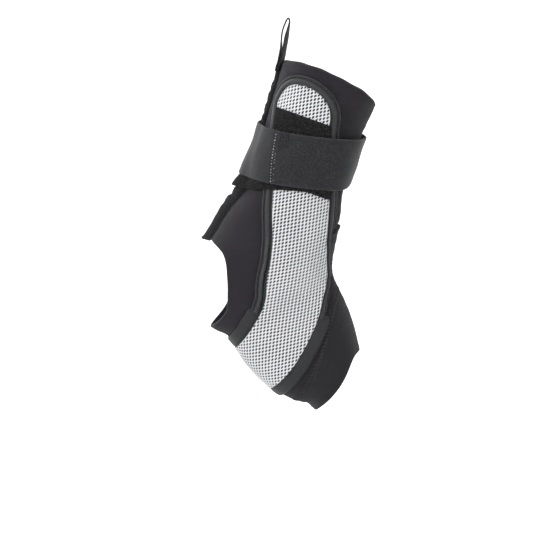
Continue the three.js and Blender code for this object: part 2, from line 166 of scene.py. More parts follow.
U_STEPS, A_STEPS = 16, 180


def worn_grid():
    """Points of the sleeve's outer face on a fine grid, and the directions straight out of it."""
    u = np.linspace(0, len(SECTIONS) - 1, (len(SECTIONS) - 1) * U_STEPS + 1)
    forward, up, tilt, depth, width, widest, back, front = between(SECTIONS, u).T[:, :, None]
    angle = np.linspace(0, np.pi, 4 * A_STEPS + 1)[None]
    c, s = np.cos(angle), np.abs(np.sin(angle))
    power = 2 / np.where(c > 0, front, back)
    reach = np.where(c > 0, 1 - widest, -widest) * np.abs(c) ** power
    along = depth * ANKLE_DEPTH * (widest - 0.5 + reach)
    across = width * ANKLE_WIDTH * s**power / 2
    lean = np.radians(tilt)
    x = forward * ANKLE_DEPTH + np.cos(lean) * along
    z = up * np.where(up > 0, CUFF_RISE, SOLE_DROP) + np.sin(lean) * along
    half = np.stack([x, -across, z], axis=-1)
    share = np.linspace(0, 1, A_STEPS + 1)
    even = np.empty((len(u), A_STEPS + 1, 3))
    for row, line in enumerate(half):
        length = gone(line)
        even[row] = read_off(share * length[-1], length, line)
    points = np.concatenate([even, even[:, -2:0:-1] * [1, -1, 1]], axis=1)
    down = np.gradient(points, axis=0)
    around = np.roll(points, -1, axis=1) - np.roll(points, 1, axis=1)
    return points, unit(np.cross(around, down))


FACE, OUT = worn_grid()
DOWN_LENGTH = gone(FACE[:, A_STEPS // 2])


def lookup(grid, u, a):
    """Values of a grid at places on the worn surface."""
    row = np.clip(np.asarray(u, float) * U_STEPS, 0, len(grid) - 1.001)
    column = np.mod(np.asarray(a, float), 2) * A_STEPS
    i, j = row.astype(int), column.astype(int)
    s, t = (row - i)[..., None], (column - j)[..., None]
    j, k = j % grid.shape[1], (j + 1) % grid.shape[1]
    return mix(mix(grid[i, j], grid[i, k], t), mix(grid[i + 1, j], grid[i + 1, k], t), s)


def spot(u, a, offset=0.0):
    """Points at an offset straight out of the sleeve's face."""
    u, a = np.broadcast_arrays(np.asarray(u, float), np.asarray(a, float))
    offset = np.broadcast_to(np.asarray(offset, float), u.shape)
    return lookup(FACE, u, a) + lookup(OUT, u, a) * offset[..., None]


def slopes(u, a):
    """How the face runs on with u and with a."""
    du, da = 0.06, 0.02
    down = (lookup(FACE, u + du, a) - lookup(FACE, u - du, a)) / (2 * du)
    around = (lookup(FACE, u, a + da) - lookup(FACE, u, a - da)) / (2 * da)
    return down, around


def flat_place(u, a):
    """Where a place lies on the cloth laid flat, in metres."""
    down = np.interp(np.asarray(u) * U_STEPS, np.arange(len(DOWN_LENGTH)), DOWN_LENGTH)
    return np.stack([np.asarray(a, float) * HALF_GIRTH, down], axis=-1)


def moved(u, a, direction, length):
    """Places moved over the face by a length in a direction."""
    steps = 4
    u, a = np.array(u, float), np.array(a, float)
    for _ in range(steps):
        down, around = slopes(u, a)
        dd, rr, dr = dot(down, down), dot(around, around), dot(down, around)
        ds, rs = dot(down, direction), dot(around, direction)
        scale = length / steps / (dd * rr - dr * dr)
        u, a = u + (rr * ds - dr * rs) * scale, a + (dd * rs - dr * ds) * scale
    return u, a


def beside(path, length):
    """A path of places moved sideways over the face by a length."""
    last = len(path) - 1
    k = np.arange(len(path))
    line = spot(path[:, 0], path[:, 1])
    edge = line[np.minimum(k + 1, last)] - line[np.maximum(k - 1, 0)]
    direction = unit(np.cross(lookup(OUT, path[:, 0], path[:, 1]), edge))
    return moved(path[:, 0], path[:, 1], direction, length)


def evenly(path, step):
    """A path of places, set out again at even steps of a length."""
    length = gone(spot(path[:, 0], path[:, 1]))
    wanted = np.linspace(0, length[-1], max(2, round(length[-1] / step)) + 1)
    return read_off(wanted, length, path)


def panel_edge(station, side):
    """A long edge of the mesh stirrup. Below zero it climbs the dome, past the sole it goes up inside."""
    station = np.asarray(station, float)
    folded = np.where(station > SOLE_STATION, 2 * SOLE_STATION - station, station)
    first = 0 if side == "rear" else 2
    leg = between(STIRRUP, folded)[..., first:first + 2]
    climb = np.clip(-folded, 0, 1) * np.pi / 2
    sign = 1 if side == "rear" else -1
    crown_a = DOME_MIDDLE + sign * DOME_HALF * np.cos(climb)
    crown = np.stack([DOME_FOOT - DOME_RISE * np.sin(climb), crown_a], axis=-1)
    found = np.where(folded[..., None] < 0, crown, leg)
    found[..., 1] = np.where(station > SOLE_STATION, 2 - found[..., 1], found[..., 1])
    return found


def rim_place(a):
    """Where the sleeve's top edge runs: a little higher at the sides, and in soft waves there."""
    side = side_of(a)
    waves = 0.026 * np.sin(29 * side + 1) * np.sin(11 * side) * ramp(side, 0.05, 0.2)
    return 1.32 - 0.52 * ramp(side, 0, 0.33) * (1 - ramp(side, 0.55, 1)) + waves


def toe_place(a):
    """Where the toe opening's edge runs."""
    return 21.88 + 0.12 * np.cos(4 * np.pi * np.asarray(a))


def strap_top(a):
    """Where the strap's upper edge runs, lower at the back."""
    return 3.45 + 0.625 * (1 - np.cos(np.pi * a)) + 0.3 * np.sin(np.pi * a)


def strap_bottom(a):
    """Where the strap's lower edge runs, with a dip at the front."""
    return 6.5 - 0.7 * bump(a, 0, 0.1) + 0.15 * np.sin(np.pi * a)


def band_bottom(a):
    """Where the base band's lower edge runs."""
    over_seam = 0.19 * bump(side_of(a), 1, 0.07)
    return 7.02 - 0.17 * np.sin(np.pi * a) ** 2 + 0.34 * ramp(side_of(a), 0.47, 0.22) + over_seam


def zigzag_place(a):
    """Where the zigzag stitches run round the foot."""
    return np.interp(side_of(a), ZIGZAG[:, 0], ZIGZAG[:, 1])


def flange_at(u):
    """How tall the back seam stands, pressed lower where the strap lies over it."""
    place = np.interp(u, FLANGE[:, 0], np.arange(len(FLANGE)))
    pressed = 2.2 * MM * bump(u, 5.75, 0.5) + 0.8 * MM * bump(u, 4.8, 0.6)
    return FLANGE_HEIGHT * between(FLANGE, place)[..., 1] - pressed


def band_low(u, a):
    """The underside of the base band: over the bindings, on the sleeve, then over the back seam."""
    side = side_of(a)
    bare, over = LAYER_GAP + CLEARANCE, LAYER_GAP + BINDING_THICKNESS + CLEARANCE
    lying = mix(over, bare, ramp(side, 0.8, 0.92))
    tent = bump(side, 1, 0.075)
    hem = 2.2 * MM * ramp(u, 6.4, 6.9)
    return lying + np.maximum(0, LAYER_GAP + flange_at(u) + 2 * CLEARANCE + hem - lying) * tent


def strap_low(u, a):
    """The underside of the strap: clear of the fuzzy fields, and a little off the sleeve at the front."""
    side = side_of(a)
    layer = PILE_THICKNESS + CLEARANCE
    over_panel = LAYER_GAP + BINDING_THICKNESS + CLEARANCE + layer
    front = mix(3.2 * MM, 4.0 * MM, ramp(u, 3.3, 6))
    taut = (LAYER_GAP + flange_at(u) + 2 * CLEARANCE) * bump(side, 1, 0.15)
    back = np.maximum(band_low(u, a), taut) + layer * ramp(u, 5.2, BAND_TOP)
    ends = mix(front, back, ramp(side, 0.3, 0.8))
    return mix(ends, over_panel, ramp(side, 0.05, 0.28) * (1 - ramp(side, 0.82, 0.95)))


# Meshes

def piece(name, body, material):
    """A smooth object from a body: points, faces of four corners, the corners' flat places and edge marks."""
    points, faces, flat, edge = body
    used, number = np.unique(faces, return_inverse=True)
    faces = number.reshape(faces.shape)
    mesh = bpy.data.meshes.new(name)
    mesh.from_pydata(points[used].tolist(), [], faces.tolist())
    layer = mesh.uv_layers.new(name="flat")
    layer.data.foreach_set("uv", np.asarray(flat, np.float32).ravel())
    mark = mesh.attributes.new("edge", "FLOAT", "POINT")
    mark.data.foreach_set("value", edge[used].astype(np.float32))
    mesh.polygons.foreach_set("use_smooth", [True] * len(mesh.polygons))
    mesh.materials.append(bpy.data.materials[material])
    mesh.update()
    thing = bpy.data.objects.new(name, mesh)
    bpy.context.scene.collection.objects.link(thing)
    return thing


def grid_faces(ids):
    """Faces of a grid of point numbers, turned to the outside."""
    return np.stack([ids[:-1, :-1], ids[:-1, 1:], ids[1:, 1:], ids[1:, :-1]], axis=-1).reshape(-1, 4)


def cloth(u, a, low, high, closed_rows=None, bulge=0.7):
    """A sheet between two offsets of a grid of places, rounded over along every free edge."""
    edge_steps, rim_wear_and_painted_shade = 4, 0.8
    ids = np.arange(u.size).reshape(u.shape)
    weld = np.arange(u.size)
    if closed_rows is not None:
        weld[ids[closed_rows, -1]] = ids[closed_rows, 0]
    quads = grid_faces(ids)
    flat = flat_place(u, a).reshape(-1, 2)
    outer = spot(u, a, high).reshape(-1, 3)
    inner = spot(u, a, low).reshape(-1, 3)
    count = len(outer)
    faces = weld[quads]
    pairs = np.concatenate([faces[:, [k, (k + 1) % 4]] for k in range(4)])
    lone = ~np.isin(pairs[:, 0] * count + pairs[:, 1], pairs[:, 1] * count + pairs[:, 0])
    free = pairs[lone & (pairs[:, 0] != pairs[:, 1])]
    before, after = np.full(count, -1), np.full(count, -1)
    after[free[:, 0]], before[free[:, 1]] = free[:, 1], free[:, 0]
    rim = free[:, 0]
    middle, half = (outer + inner) / 2, (outer - inner) / 2
    along = middle[after[rim]] - middle[before[rim]]
    away = unit(np.cross(along, half[rim])) * np.linalg.norm(half[rim], axis=1)[:, None] * bulge
    number = np.full(count, -1)
    number[rim] = np.arange(len(rim))
    points, levels, start = [outer, inner], [rim], 2 * count
    all_faces, all_flat = [faces, faces[:, ::-1] + count], [flat[quads], flat[quads[:, ::-1]]]
    for k in range(1, edge_steps):
        turn = np.pi * k / edge_steps
        points.append(middle[rim] + half[rim] * np.cos(turn) + away * np.sin(turn))
        levels.append(start + np.arange(len(rim)))
        start += len(rim)
    levels.append(rim + count)
    p, q = number[free[:, 0]], number[free[:, 1]]
    for upper, lower in zip(levels[:-1], levels[1:]):
        all_faces.append(np.stack([upper[q], upper[p], lower[p], lower[q]], axis=1))
        all_flat.append(flat[np.stack([free[:, 1], free[:, 0], free[:, 0], free[:, 1]], axis=1)])
    points = np.concatenate(points)
    # Edge marks: full on the rounded rims, a little less on the rows beside them. They wear the sleeve, cuff
    # and strap paler there, and on the mesh backing they paint shade along its edges.
    edge = np.zeros(len(points))
    edge[2 * count:] = 1
    edge[rim] = edge[rim + count] = rim_wear_and_painted_shade
    return points, np.concatenate(all_faces), np.concatenate(all_flat), edge


def ring_faces(count, sides):
    """Faces between rings of points, each closed on itself."""
    ids = np.arange(count * sides).reshape(count, sides)
    return grid_faces(np.concatenate([ids, ids[:, :1]], axis=1))


def tube_faces(count, sides):
    """Faces between closed rings of points, with both ends of the tube filled."""
    faces = [ring_faces(count, sides)]
    for start, turn in ((0, -1), ((count - 1) * sides, 1)):
        for k in range(sides // 2 - 1):
            faces.append(start + np.array([[k, k + 1, sides - 2 - k, sides - 1 - k]])[:, ::turn])
    return np.concatenate(faces)


def repeated(faces, count, size):
    """The faces of one body, over again for a row of bodies that have so many points each."""
    return (faces[None] + (np.arange(count) * size)[:, None, None]).reshape(-1, 4)


def swept(rings, flat):
    """A body through rings of points, each a closed outline."""
    count, sides = rings.shape[:2]
    faces = tube_faces(count, sides)
    return rings.reshape(-1, 3), faces, flat.reshape(-1, 2)[faces], np.zeros(count * sides)


def facing_out(body):
    """The same body, with its faces turned to point out."""
    points, faces, flat, edge = body
    a, b, c, d = (points[faces[:, k]] for k in range(4))
    volume = dot(a, np.cross(b, c)).sum() + dot(a, np.cross(c, d)).sum()
    turn = -1 if volume < 0 else 1
    return points, faces[:, ::turn], flat[:, ::turn], edge


def both_sides(name, body, material):
    """A piece on the outer side, and its mirror image on the inner side."""
    points, faces, flat, edge = body
    image = (points * [1, -1, 1], faces[:, ::-1], flat[:, ::-1], edge)
    return [piece(name + "_" + side, each, material) for side, each in zip(SIDES, (body, image))]


def joined(bodies):
    """Several bodies as one."""
    points, faces, flats, edges = zip(*bodies)
    starts = np.cumsum([0] + [len(p) for p in points[:-1]])
    faces = [f + start for f, start in zip(faces, starts)]
    return tuple(np.concatenate(part) for part in (points, faces, flats, edges))


def threads(centres, along, out, length, radius, rise):
    """Short arched stitches, one at each centre."""
    sides, rings, tip = 6, 6, 0.15
    along = unit(along)
    across = unit(np.cross(out, along))
    out = unit(np.cross(along, across))
    count = len(centres)
    length, radius = (np.broadcast_to(size, count)[:, None, None] for size in (length, radius))
    t = np.linspace(-1, 1, rings)[:, None]
    thick = mix(tip, 1, np.sqrt(np.maximum(0.0, 1 - t**2)))
    turn = np.linspace(0, 2 * np.pi, sides, endpoint=False)
    reach = (t * np.ones(sides) * length / 2, thick * np.cos(turn) * radius, thick * np.sin(turn) * radius)
    reach = (reach[0], reach[1], reach[2] + rise * (1 - t**2))
    points = centres[:, None, None]
    for size, way in zip(reach, (along, across, out)):
        points = points + size[..., None] * way[:, None, None]
    faces = repeated(tube_faces(rings, sides), count, rings * sides)
    return points.reshape(-1, 3), faces, np.zeros((len(faces), 4, 2)), np.zeros(count * rings * sides)


# Materials

def node(tree, kind, **values):
    """A new shader node with some of its properties set."""
    made = tree.nodes.new(kind)
    for name, value in values.items():
        setattr(made, name, value)
    return made


def math_node(tree, operation, *inputs):
    """A Math node: each input is a number or an output to link."""
    made = node(tree, "ShaderNodeMath", operation=operation)
    for k, value in enumerate(inputs):
        if isinstance(value, (int, float)):
            made.inputs[k].default_value = value
        else:
            tree.links.new(value, made.inputs[k])
    return made.outputs[0]


def new_group(name, inputs, outputs):
    """An empty shader node group, from the names of its sockets and their kinds."""
    tree = bpy.data.node_groups.new(name, "ShaderNodeTree")
    for way, sockets in (("INPUT", inputs), ("OUTPUT", outputs)):
        for socket, kind in sockets.items():
            tree.interface.new_socket(name=socket, in_out=way, socket_type="NodeSocket" + kind)
    return tree, node(tree, "NodeGroupInput").outputs, node(tree, "NodeGroupOutput").inputs


def counted(tree, given, sockets):
    """Both coordinates of the flat cloth, counted in threads."""
    split = node(tree, "ShaderNodeSeparateXYZ")
    tree.links.new(given["Flat"], split.inputs[0])
    return (math_node(tree, "MULTIPLY", split.outputs[k], given[name]) for k, name in enumerate(sockets))


def knit_group():
    """Fine knit: columns of small V stitches, as a height from 0 to 1."""
    tree, given, put = new_group("fine_knit", {"Flat": "Vector", "Stitches": "Float"}, {"Height": "Float"})
    x, y = counted(tree, given, ("Stitches", "Stitches"))
    off = math_node(tree, "ABSOLUTE", math_node(tree, "SUBTRACT", math_node(tree, "FRACT", x), 0.5))
    climbing = math_node(tree, "ADD", y, off)
    turns, across = (
        math_node(tree, "SINE", math_node(tree, "MULTIPLY", value, 2 * math.pi)) for value in (climbing, off))
    raised = math_node(tree, "MULTIPLY_ADD", turns, 0.5, 0.5)
    tree.links.new(math_node(tree, "MULTIPLY", raised, across), put["Height"])
    return tree


def weave_group():
    """Plain weave: warp and weft that cross over and under, as a height from 0 to 1."""
    sockets = {"Flat": "Vector", "Warp": "Float", "Weft": "Float"}
    tree, given, put = new_group("plain_weave", sockets, {"Height": "Float"})
    warp, weft = (
        math_node(tree, "SINE", math_node(tree, "MULTIPLY", value, math.pi))
        for value in counted(tree, given, ("Warp", "Weft")))
    crossing = math_node(tree, "MULTIPLY", warp, weft)
    tree.links.new(math_node(tree, "MULTIPLY_ADD", crossing, 0.5, 0.5), put["Height"])
    return tree


TONES = ("Mottle", "Fleck", "Fleck Size", "Thread", "Wear And Painted Light")


def tone_group():
    """Cloth colour: slow mottling, flecks of lighter fibre, threads lighter than the gaps, and marked places
    in a second colour: worn edges, painted highlights and painted shade.
    """
    sockets = {"Base": "Color", "Light": "Color", "Height": "Float", "Edge": "Float"}
    sockets.update(dict.fromkeys(TONES, "Float"))
    tree, given, put = new_group("cloth_tone", sockets, {"Color": "Color"})
    where = node(tree, "ShaderNodeTexCoord").outputs["Object"]
    slow = node(tree, "ShaderNodeTexNoise")
    slow.inputs["Scale"].default_value = 45.0
    slow.inputs["Detail"].default_value = 4.0
    fine = node(tree, "ShaderNodeTexNoise")
    fine.inputs["Detail"].default_value = 2.0
    tree.links.new(where, slow.inputs["Vector"])
    tree.links.new(where, fine.inputs["Vector"])
    tree.links.new(given["Fleck Size"], fine.inputs["Scale"])
    spread = math_node(tree, "MULTIPLY", math_node(tree, "SUBTRACT", slow.outputs[0], 0.5), 2.0)
    mottle = math_node(tree, "MULTIPLY_ADD", spread, given["Mottle"], 1.0)
    dust = node(tree, "ShaderNodeMapRange")
    dust.inputs["From Min"].default_value = 0.45
    dust.inputs["From Max"].default_value = 0.72
    tree.links.new(fine.outputs[0], dust.inputs["Value"])
    fleck = math_node(tree, "MULTIPLY", dust.outputs[0], given["Fleck"])
    # Marked places go over to the second colour: wear on cloth rims, a painted highlight on the binding's
    # crest and the strap's rear end, painted shade in the net's holes and along the backing's edges.
    edges = math_node(tree, "MULTIPLY", given["Edge"], given["Wear And Painted Light"])
    worn = math_node(tree, "MULTIPLY", edges, slow.outputs[0])
    mask = math_node(tree, "MINIMUM", math_node(tree, "ADD", fleck, worn), 1.0)
    gap = math_node(tree, "SUBTRACT", 1.0, given["Height"])
    shade = math_node(tree, "SUBTRACT", mottle, math_node(tree, "MULTIPLY", gap, given["Thread"]))
    dark = node(tree, "ShaderNodeVectorMath", operation="SCALE")
    tree.links.new(given["Base"], dark.inputs[0])
    tree.links.new(shade, dark.inputs["Scale"])
    blend = node(tree, "ShaderNodeMix", data_type="RGBA")
    tree.links.new(mask, blend.inputs["Factor"])
    tree.links.new(dark.outputs[0], blend.inputs["A"])
    tree.links.new(given["Light"], blend.inputs["B"])
    tree.links.new(blend.outputs["Result"], put["Color"])
    return tree


KNIT, WEAVE, TONE = knit_group(), weave_group(), tone_group()


def cloth_material(name, base, light, relief, density, depth, roughness, sheen, tones):
    """Cloth whose colour and relief come from the shared groups. relief is the knit or weave group."""
    made = bpy.data.materials.new(name)
    made.use_nodes = True
    tree = made.node_tree
    tree.nodes.clear()
    shader = node(tree, "ShaderNodeBsdfPrincipled")
    put = node(tree, "ShaderNodeOutputMaterial")
    tree.links.new(shader.outputs[0], put.inputs["Surface"])
    flat = node(tree, "ShaderNodeUVMap", uv_map="flat")
    texture = node(tree, "ShaderNodeGroup", node_tree=relief)
    tree.links.new(flat.outputs[0], texture.inputs["Flat"])
    for socket, value in zip(texture.inputs[1:], density):
        socket.default_value = value
    edge = node(tree, "ShaderNodeAttribute", attribute_name="edge")
    tone = node(tree, "ShaderNodeGroup", node_tree=TONE)
    tone.inputs["Base"].default_value = (*base, 1)
    tone.inputs["Light"].default_value = (*light, 1)
    for socket, value in zip(TONES, tones):
        tone.inputs[socket].default_value = value
    tree.links.new(texture.outputs["Height"], tone.inputs["Height"])
    tree.links.new(edge.outputs["Fac"], tone.inputs["Edge"])
    tree.links.new(tone.outputs["Color"], shader.inputs["Base Color"])
    rough = math_node(tree, "MULTIPLY_ADD", texture.outputs["Height"], -0.1, roughness + 0.05)
    tree.links.new(rough, shader.inputs["Roughness"])
    shader.inputs["Sheen Weight"].default_value = sheen
    shader.inputs["Sheen Roughness"].default_value = 0.45
    shader.inputs["Specular IOR Level"].default_value = 0.3
    lump = node(tree, "ShaderNodeBump")
    lump.inputs["Distance"].default_value = depth * MM
    lump.inputs["Strength"].default_value = 0.8
    tree.links.new(texture.outputs["Height"], lump.inputs["Height"])
    tree.links.new(lump.outputs[0], shader.inputs["Normal"])
    return made


# Each cloth: its colour and that of its lighter fibres (on the net and its backing, a dark colour used for
# painted shade), its relief, threads a metre and depth in millimetres, roughness, sheen, and how much
# mottling, how many flecks and how fine, how dark its gaps, and how far its marked places go to the second
# colour: worn edges, a painted highlight on the binding and strap, painted shade on the net and its backing
THREAD = (WEAVE, (2500, 2500), 0.05)
THREAD_TONES = (0.1, 0.1, 2000, 0.0, 0.0)
CLOTHS = {
    "sleeve_knit": (
        (0.0186, 0.0161, 0.0208), (0.09, 0.09, 0.10), KNIT, (1500,), 0.12,
        0.9, 0.07, (0.14, 0.05, 900, 0.3, 0.3)),
    # The sleeve's knit made darker for the low band at the toes: painted shade.
    "cuff_knit_painted_shade": (
        (0.0122, 0.0107, 0.0142), (0.07, 0.07, 0.08), KNIT, (1500,), 0.12,
        0.8, 0.06, (0.14, 0.05, 900, 0.3, 0.3)),
    "seam_knit": (
        (0.0290, 0.0292, 0.0315), (0.10, 0.10, 0.11), KNIT, (1300,), 0.15,
        0.75, 0.08, (0.2, 0.08, 900, 0.3, 0.3)),
    # Its marked crest takes a painted highlight.
    "binding_knit": (
        (0.0260, 0.0260, 0.0290), (0.12, 0.122, 0.13), KNIT, (1900,), 0.1,
        0.4, 0.14, (0.14, 0.1, 900, 0.3, 0.6)),
    "tape_weave": (
        (0.0170, 0.0172, 0.0192), (0.10, 0.105, 0.11), WEAVE, (1700, 1700), 0.08,
        0.6, 0.1, (0.12, 0.08, 900, 0.3, 0.2)),
    # Its marks wear the rims paler and paint a highlight on the strap's rear end.
    "strap_weave": (
        (0.0140, 0.0141, 0.0163), (0.075, 0.076, 0.082), WEAVE, (1100, 1100), 0.15,
        0.85, 0.24, (0.2, 0.22, 640, 0.35, 0.5)),
    "pile_base": (
        (0.0055, 0.0055, 0.0060), (0.05, 0.05, 0.05), WEAVE, (1100, 1100), 0.3,
        0.95, 0.05, (0.4, 0.2, 900, 0.5, 0.0)),
    "pile_loops": (
        (0.0085, 0.0085, 0.0092), (0.08, 0.081, 0.086), WEAVE, (900, 900), 0.1,
        0.7, 0.1, (0.6, 0.7, 450, 0.0, 0.0)),
    "webbing_rib": (
        (0.0130, 0.0130, 0.0140), (0.06, 0.06, 0.065), WEAVE, (1600, 2200), 0.1,
        0.75, 0.1, (0.15, 0.1, 1500, 0.4, 0.3)),
    # Its second colour is painted shade, laid down the walls of its holes.
    "net_yarn": (
        (0.83, 0.835, 0.85), (0.13, 0.135, 0.14), KNIT, (2200,), 0.08,
        0.75, 0.1, (0.05, 0.0, 1500, 0.12, 1.7)),
    # Its second colour is painted shade, laid dark along its edges beside the bindings.
    "net_backing": (
        (0.044, 0.045, 0.049), (0.012, 0.012, 0.013), WEAVE, (1300, 1300), 0.2,
        0.85, 0.1, (0.2, 0.2, 1200, 0.5, 2.0)),
    "dark_thread": ((0.0075, 0.0075, 0.0084), (0.05, 0.05, 0.05), *THREAD, 0.7, 0.05, THREAD_TONES),
    "seam_thread": ((0.0230, 0.0225, 0.0250), (0.08, 0.08, 0.08), *THREAD, 0.6, 0.1, THREAD_TONES),
    "grey_thread": ((0.0360, 0.0370, 0.0400), (0.14, 0.14, 0.14), *THREAD, 0.55, 0.1, THREAD_TONES),
    "white_thread": ((0.42, 0.42, 0.44), (0.7, 0.7, 0.7), *THREAD, 0.6, 0.1, THREAD_TONES),
}
for cloth_name, looks in CLOTHS.items():
    cloth_material(cloth_name, *looks)


# Pieces

def sleeve_relief(u, a):
    """Soft folds and draws of the sleeve's cloth, straight out from its face."""
    turned, side = signed(a), side_of(a)
    made = 0.20 * MM * np.sin(5.1 * u + 9 * turned) * np.sin(2.3 * u - 13 * turned + 1.1)
    made += 0.10 * MM * np.sin(11 * u + 21 * turned + 0.7)
    return made + front_fold(u, side) + instep_fold(u, side) + seam_draws(u, side) + zigzag_channel(u, side)


def front_fold(u, side):
    """The overlapping fold at the front of the ankle: a lip below a shaded valley, and ridges above them."""
    past = u - 8.71 - 2.4 * side
    fold = 1.2 * bump(past, 0, 0.22) * (past > 0) - 2.2 * bump(past, 0, 0.27) * (past <= 0)
    ridge_place = 0.172 - 0.038 * (u - 6.92)
    ridge = bump(side, ridge_place, 0.014) - 0.8 * bump(side, ridge_place - 0.033, 0.016)
    ridge += 0.6 * bump(side, ridge_place - 0.075, 0.018)
    ridge = 0.8 * ridge * ramp(u, 6.2, 6.8) * (1 - ramp(past, -0.3, -0.02))
    return MM * (fold * (1 - ramp(side, 0.12, 0.19)) + ridge)


def instep_fold(u, side):
    """The slanting fold from the front of the ankle down beside the stirrup."""
    off = side - (u - 14.83) / 12.5
    fold = bump(off, 0.014, 0.014) - bump(off, -0.016, 0.016)
    return 0.7 * MM * fold * ramp(u, 14.6, 15.2) * (1 - ramp(u, 16.8, 17.4))


def seam_draws(u, side):
    """Where the back seam pulls the cloth in, by turns more and less."""
    near = bump(1 - side, 0.034, 0.016) * (1 - ramp(u, 8.6, 9.0)) * ramp(u, 1.5, 2.0)
    return -(0.55 + 0.2 * np.sin(11 * u)) * MM * near


def zigzag_channel(u, side):
    """The shallow channel that the zigzag stitches draw in, fainter under the sole."""
    return -0.6 * MM * bump(u, zigzag_place(side), 0.17) * (1 - 0.6 * ramp(side, 0.78, 0.9))


def round_grid(rows, columns):
    """A closed grid round the leg: the share down of each row, a at each point, and which rows are closed."""
    a = np.broadcast_to(np.linspace(-1, 1, columns + 1), (rows + 1, columns + 1))
    return np.linspace(0, 1, rows + 1)[:, None], a, np.full(rows + 1, True)


def sleeve():
    """The body: closed rows to the heel opening, open rows beside it, closed rows on to the cross seam."""
    leg, heel, foot, columns, crowding = 100, 46, 46, 188, 1.3
    t = np.linspace(-1, 1, columns + 1)
    size = np.abs(t)
    top, bottom = HOLE_MIDDLE - HOLE_HALF, HOLE_MIDDLE + HOLE_HALF
    rows_u, rows_a, closed = [], [], []
    for i in range(leg + 1):
        rows_u.append(mix(rim_place(t), top, 1 - (1 - i / leg) ** crowding))
        rows_a.append(t)
        closed.append(True)
    for i in range(1, heel):
        turn = np.pi * i / heel
        edge = 1 - HOLE_SPREAD * math.sin(turn)
        share = (size - 0.5) / 0.5
        rows_u.append(np.full(columns + 1, HOLE_MIDDLE - HOLE_HALF * math.cos(turn)))
        rows_a.append(np.sign(t) * np.where(share <= 0, size, mix(0.5, edge, share)))
        closed.append(False)
    for i in range(foot + 1):
        rows_u.append(np.full(columns + 1, mix(bottom, SEAM_PLACE - SEAM_PARTING, i / foot)))
        rows_a.append(t)
        closed.append(True)
    u, a = np.array(rows_u), np.array(rows_a)
    relief = sleeve_relief(u, a)
    body = cloth(u, a, -SLEEVE_WALL + relief, relief, np.array(closed), bulge=0.55)
    return piece("sleeve_cloth", body, "sleeve_knit")


def foot_cuff():
    """The band of the same cloth between the cross seam and the toe opening, in a darker copy of its knit:
    painted shade.
    """
    share, a, closed = round_grid(34, 200)
    u = mix(SEAM_PLACE + SEAM_PARTING, toe_place(a), share)
    relief = 0.15 * MM * np.sin(6 * u + 17 * a) * np.sin(3 * u - 9 * a)
    ragged = 0.35 * MM * np.sin(61 * np.pi * a) * bump(side_of(a), 0, 0.1)
    relief = relief + ragged * ramp(share, 0.7, 1)
    body = cloth(u, a, -SLEEVE_WALL + relief, relief, closed, bulge=0.55)
    return piece("foot_cuff_cloth", body, "cuff_knit_painted_shade")


def binding_path():
    """Up the mesh's rear edge, over the dome and down the front edge: u, a, bare lip and share of width."""
    up, down = np.linspace(REAR_TACK, -0.995, 900), np.linspace(-0.995, FRONT_TACK, 1100)
    rear = np.column_stack([panel_edge(up, "rear"), 1.3 * ramp(up, 1.5, 4), np.ones(len(up))])
    narrowing = 1 - 0.36 * ramp(down, 2.5, 3)
    front = np.column_stack([panel_edge(down, "front"), 0.5 * ramp(down, 0.5, 2), narrowing])
    return evenly(np.concatenate([rear, front]), 0.8 * MM)


# The binding's outline: distance out from the mesh edge and height, in millimetres
BINDING_OUTLINE = np.array([
    [0.1, 0.7], [0.05, 1.5], [0.3, 2.2], [0.8, 2.8], [1.5, 3.2], [2.5, 3.35], [3.5, 3.25], [4.2, 2.95],
    [4.65, 2.3], [4.9, 1.3], [5.6, 1.2], [5.9, 2.0], [6.25, 2.55], [6.8, 2.7], [7.3, 2.3], [7.55, 1.3],
    [7.5, 0.0], [5.5, 0.1], [3.5, 0.2], [1.5, 0.3],
])
# The tape's outline, in the same way
TAPE_OUTLINE = np.array([
    [0.0, 0.6], [-0.05, 1.8], [0.2, 2.35], [0.9, 2.6], [3.0, 2.8], [5.2, 2.85], [7.4, 2.75], [9.3, 2.5],
    [9.9, 2.0], [10.05, 1.2], [10.0, 0.1], [6.5, 0.1], [3.2, 0.2], [0.5, 0.4],
])


def edging(path, outline, away=1, taper=3.0 * MM, narrow=0.35, low=0.35, root=None):
    """An outline carried along a path on the face. Towards both ends it is drawn in to a root and down."""
    crest = 4.9
    lip, width = path[:, 2:].T if path.shape[1] > 2 else (0.0, 1.0)
    line = spot(path[:, 0], path[:, 1])
    length = gone(line)
    from_end = np.minimum(length, length[-1] - length)
    round_off = np.sqrt(1 - (1 - np.clip(from_end / taper, 0, 1)) ** 2)
    root = outline[:, 0].mean() if root is None else root
    rings = np.empty((len(path), len(outline), 3))
    flat = np.empty((len(path), len(outline), 2))
    for k, (reach, height) in enumerate(outline):
        beyond = width * (reach + lip * max(0.0, 1 - reach / crest))
        u, a = beside(path, away * mix(root, beyond, mix(narrow, 1, round_off)) * MM)
        rings[:, k] = spot(u, a, height * MM * mix(low, 1, round_off))
        flat[:, k] = np.stack([np.full(len(path), reach * MM), length], axis=1)
    return swept(rings, flat)


def along_path(path, reach, height, step, margin=0.0):
    """Even places beside a path: the points, the direction along it and the direction out."""
    u, a = beside(path, reach * path[:, 3])
    line = spot(u, a, height)
    length = gone(line)
    wanted = np.arange(margin + step / 2, length[-1] - margin, step)
    way = read_off(wanted, length, np.gradient(line, axis=0))
    up = lookup(OUT, np.interp(wanted, length, u), np.interp(wanted, length, a))
    return read_off(wanted, length, line), unit(way), up


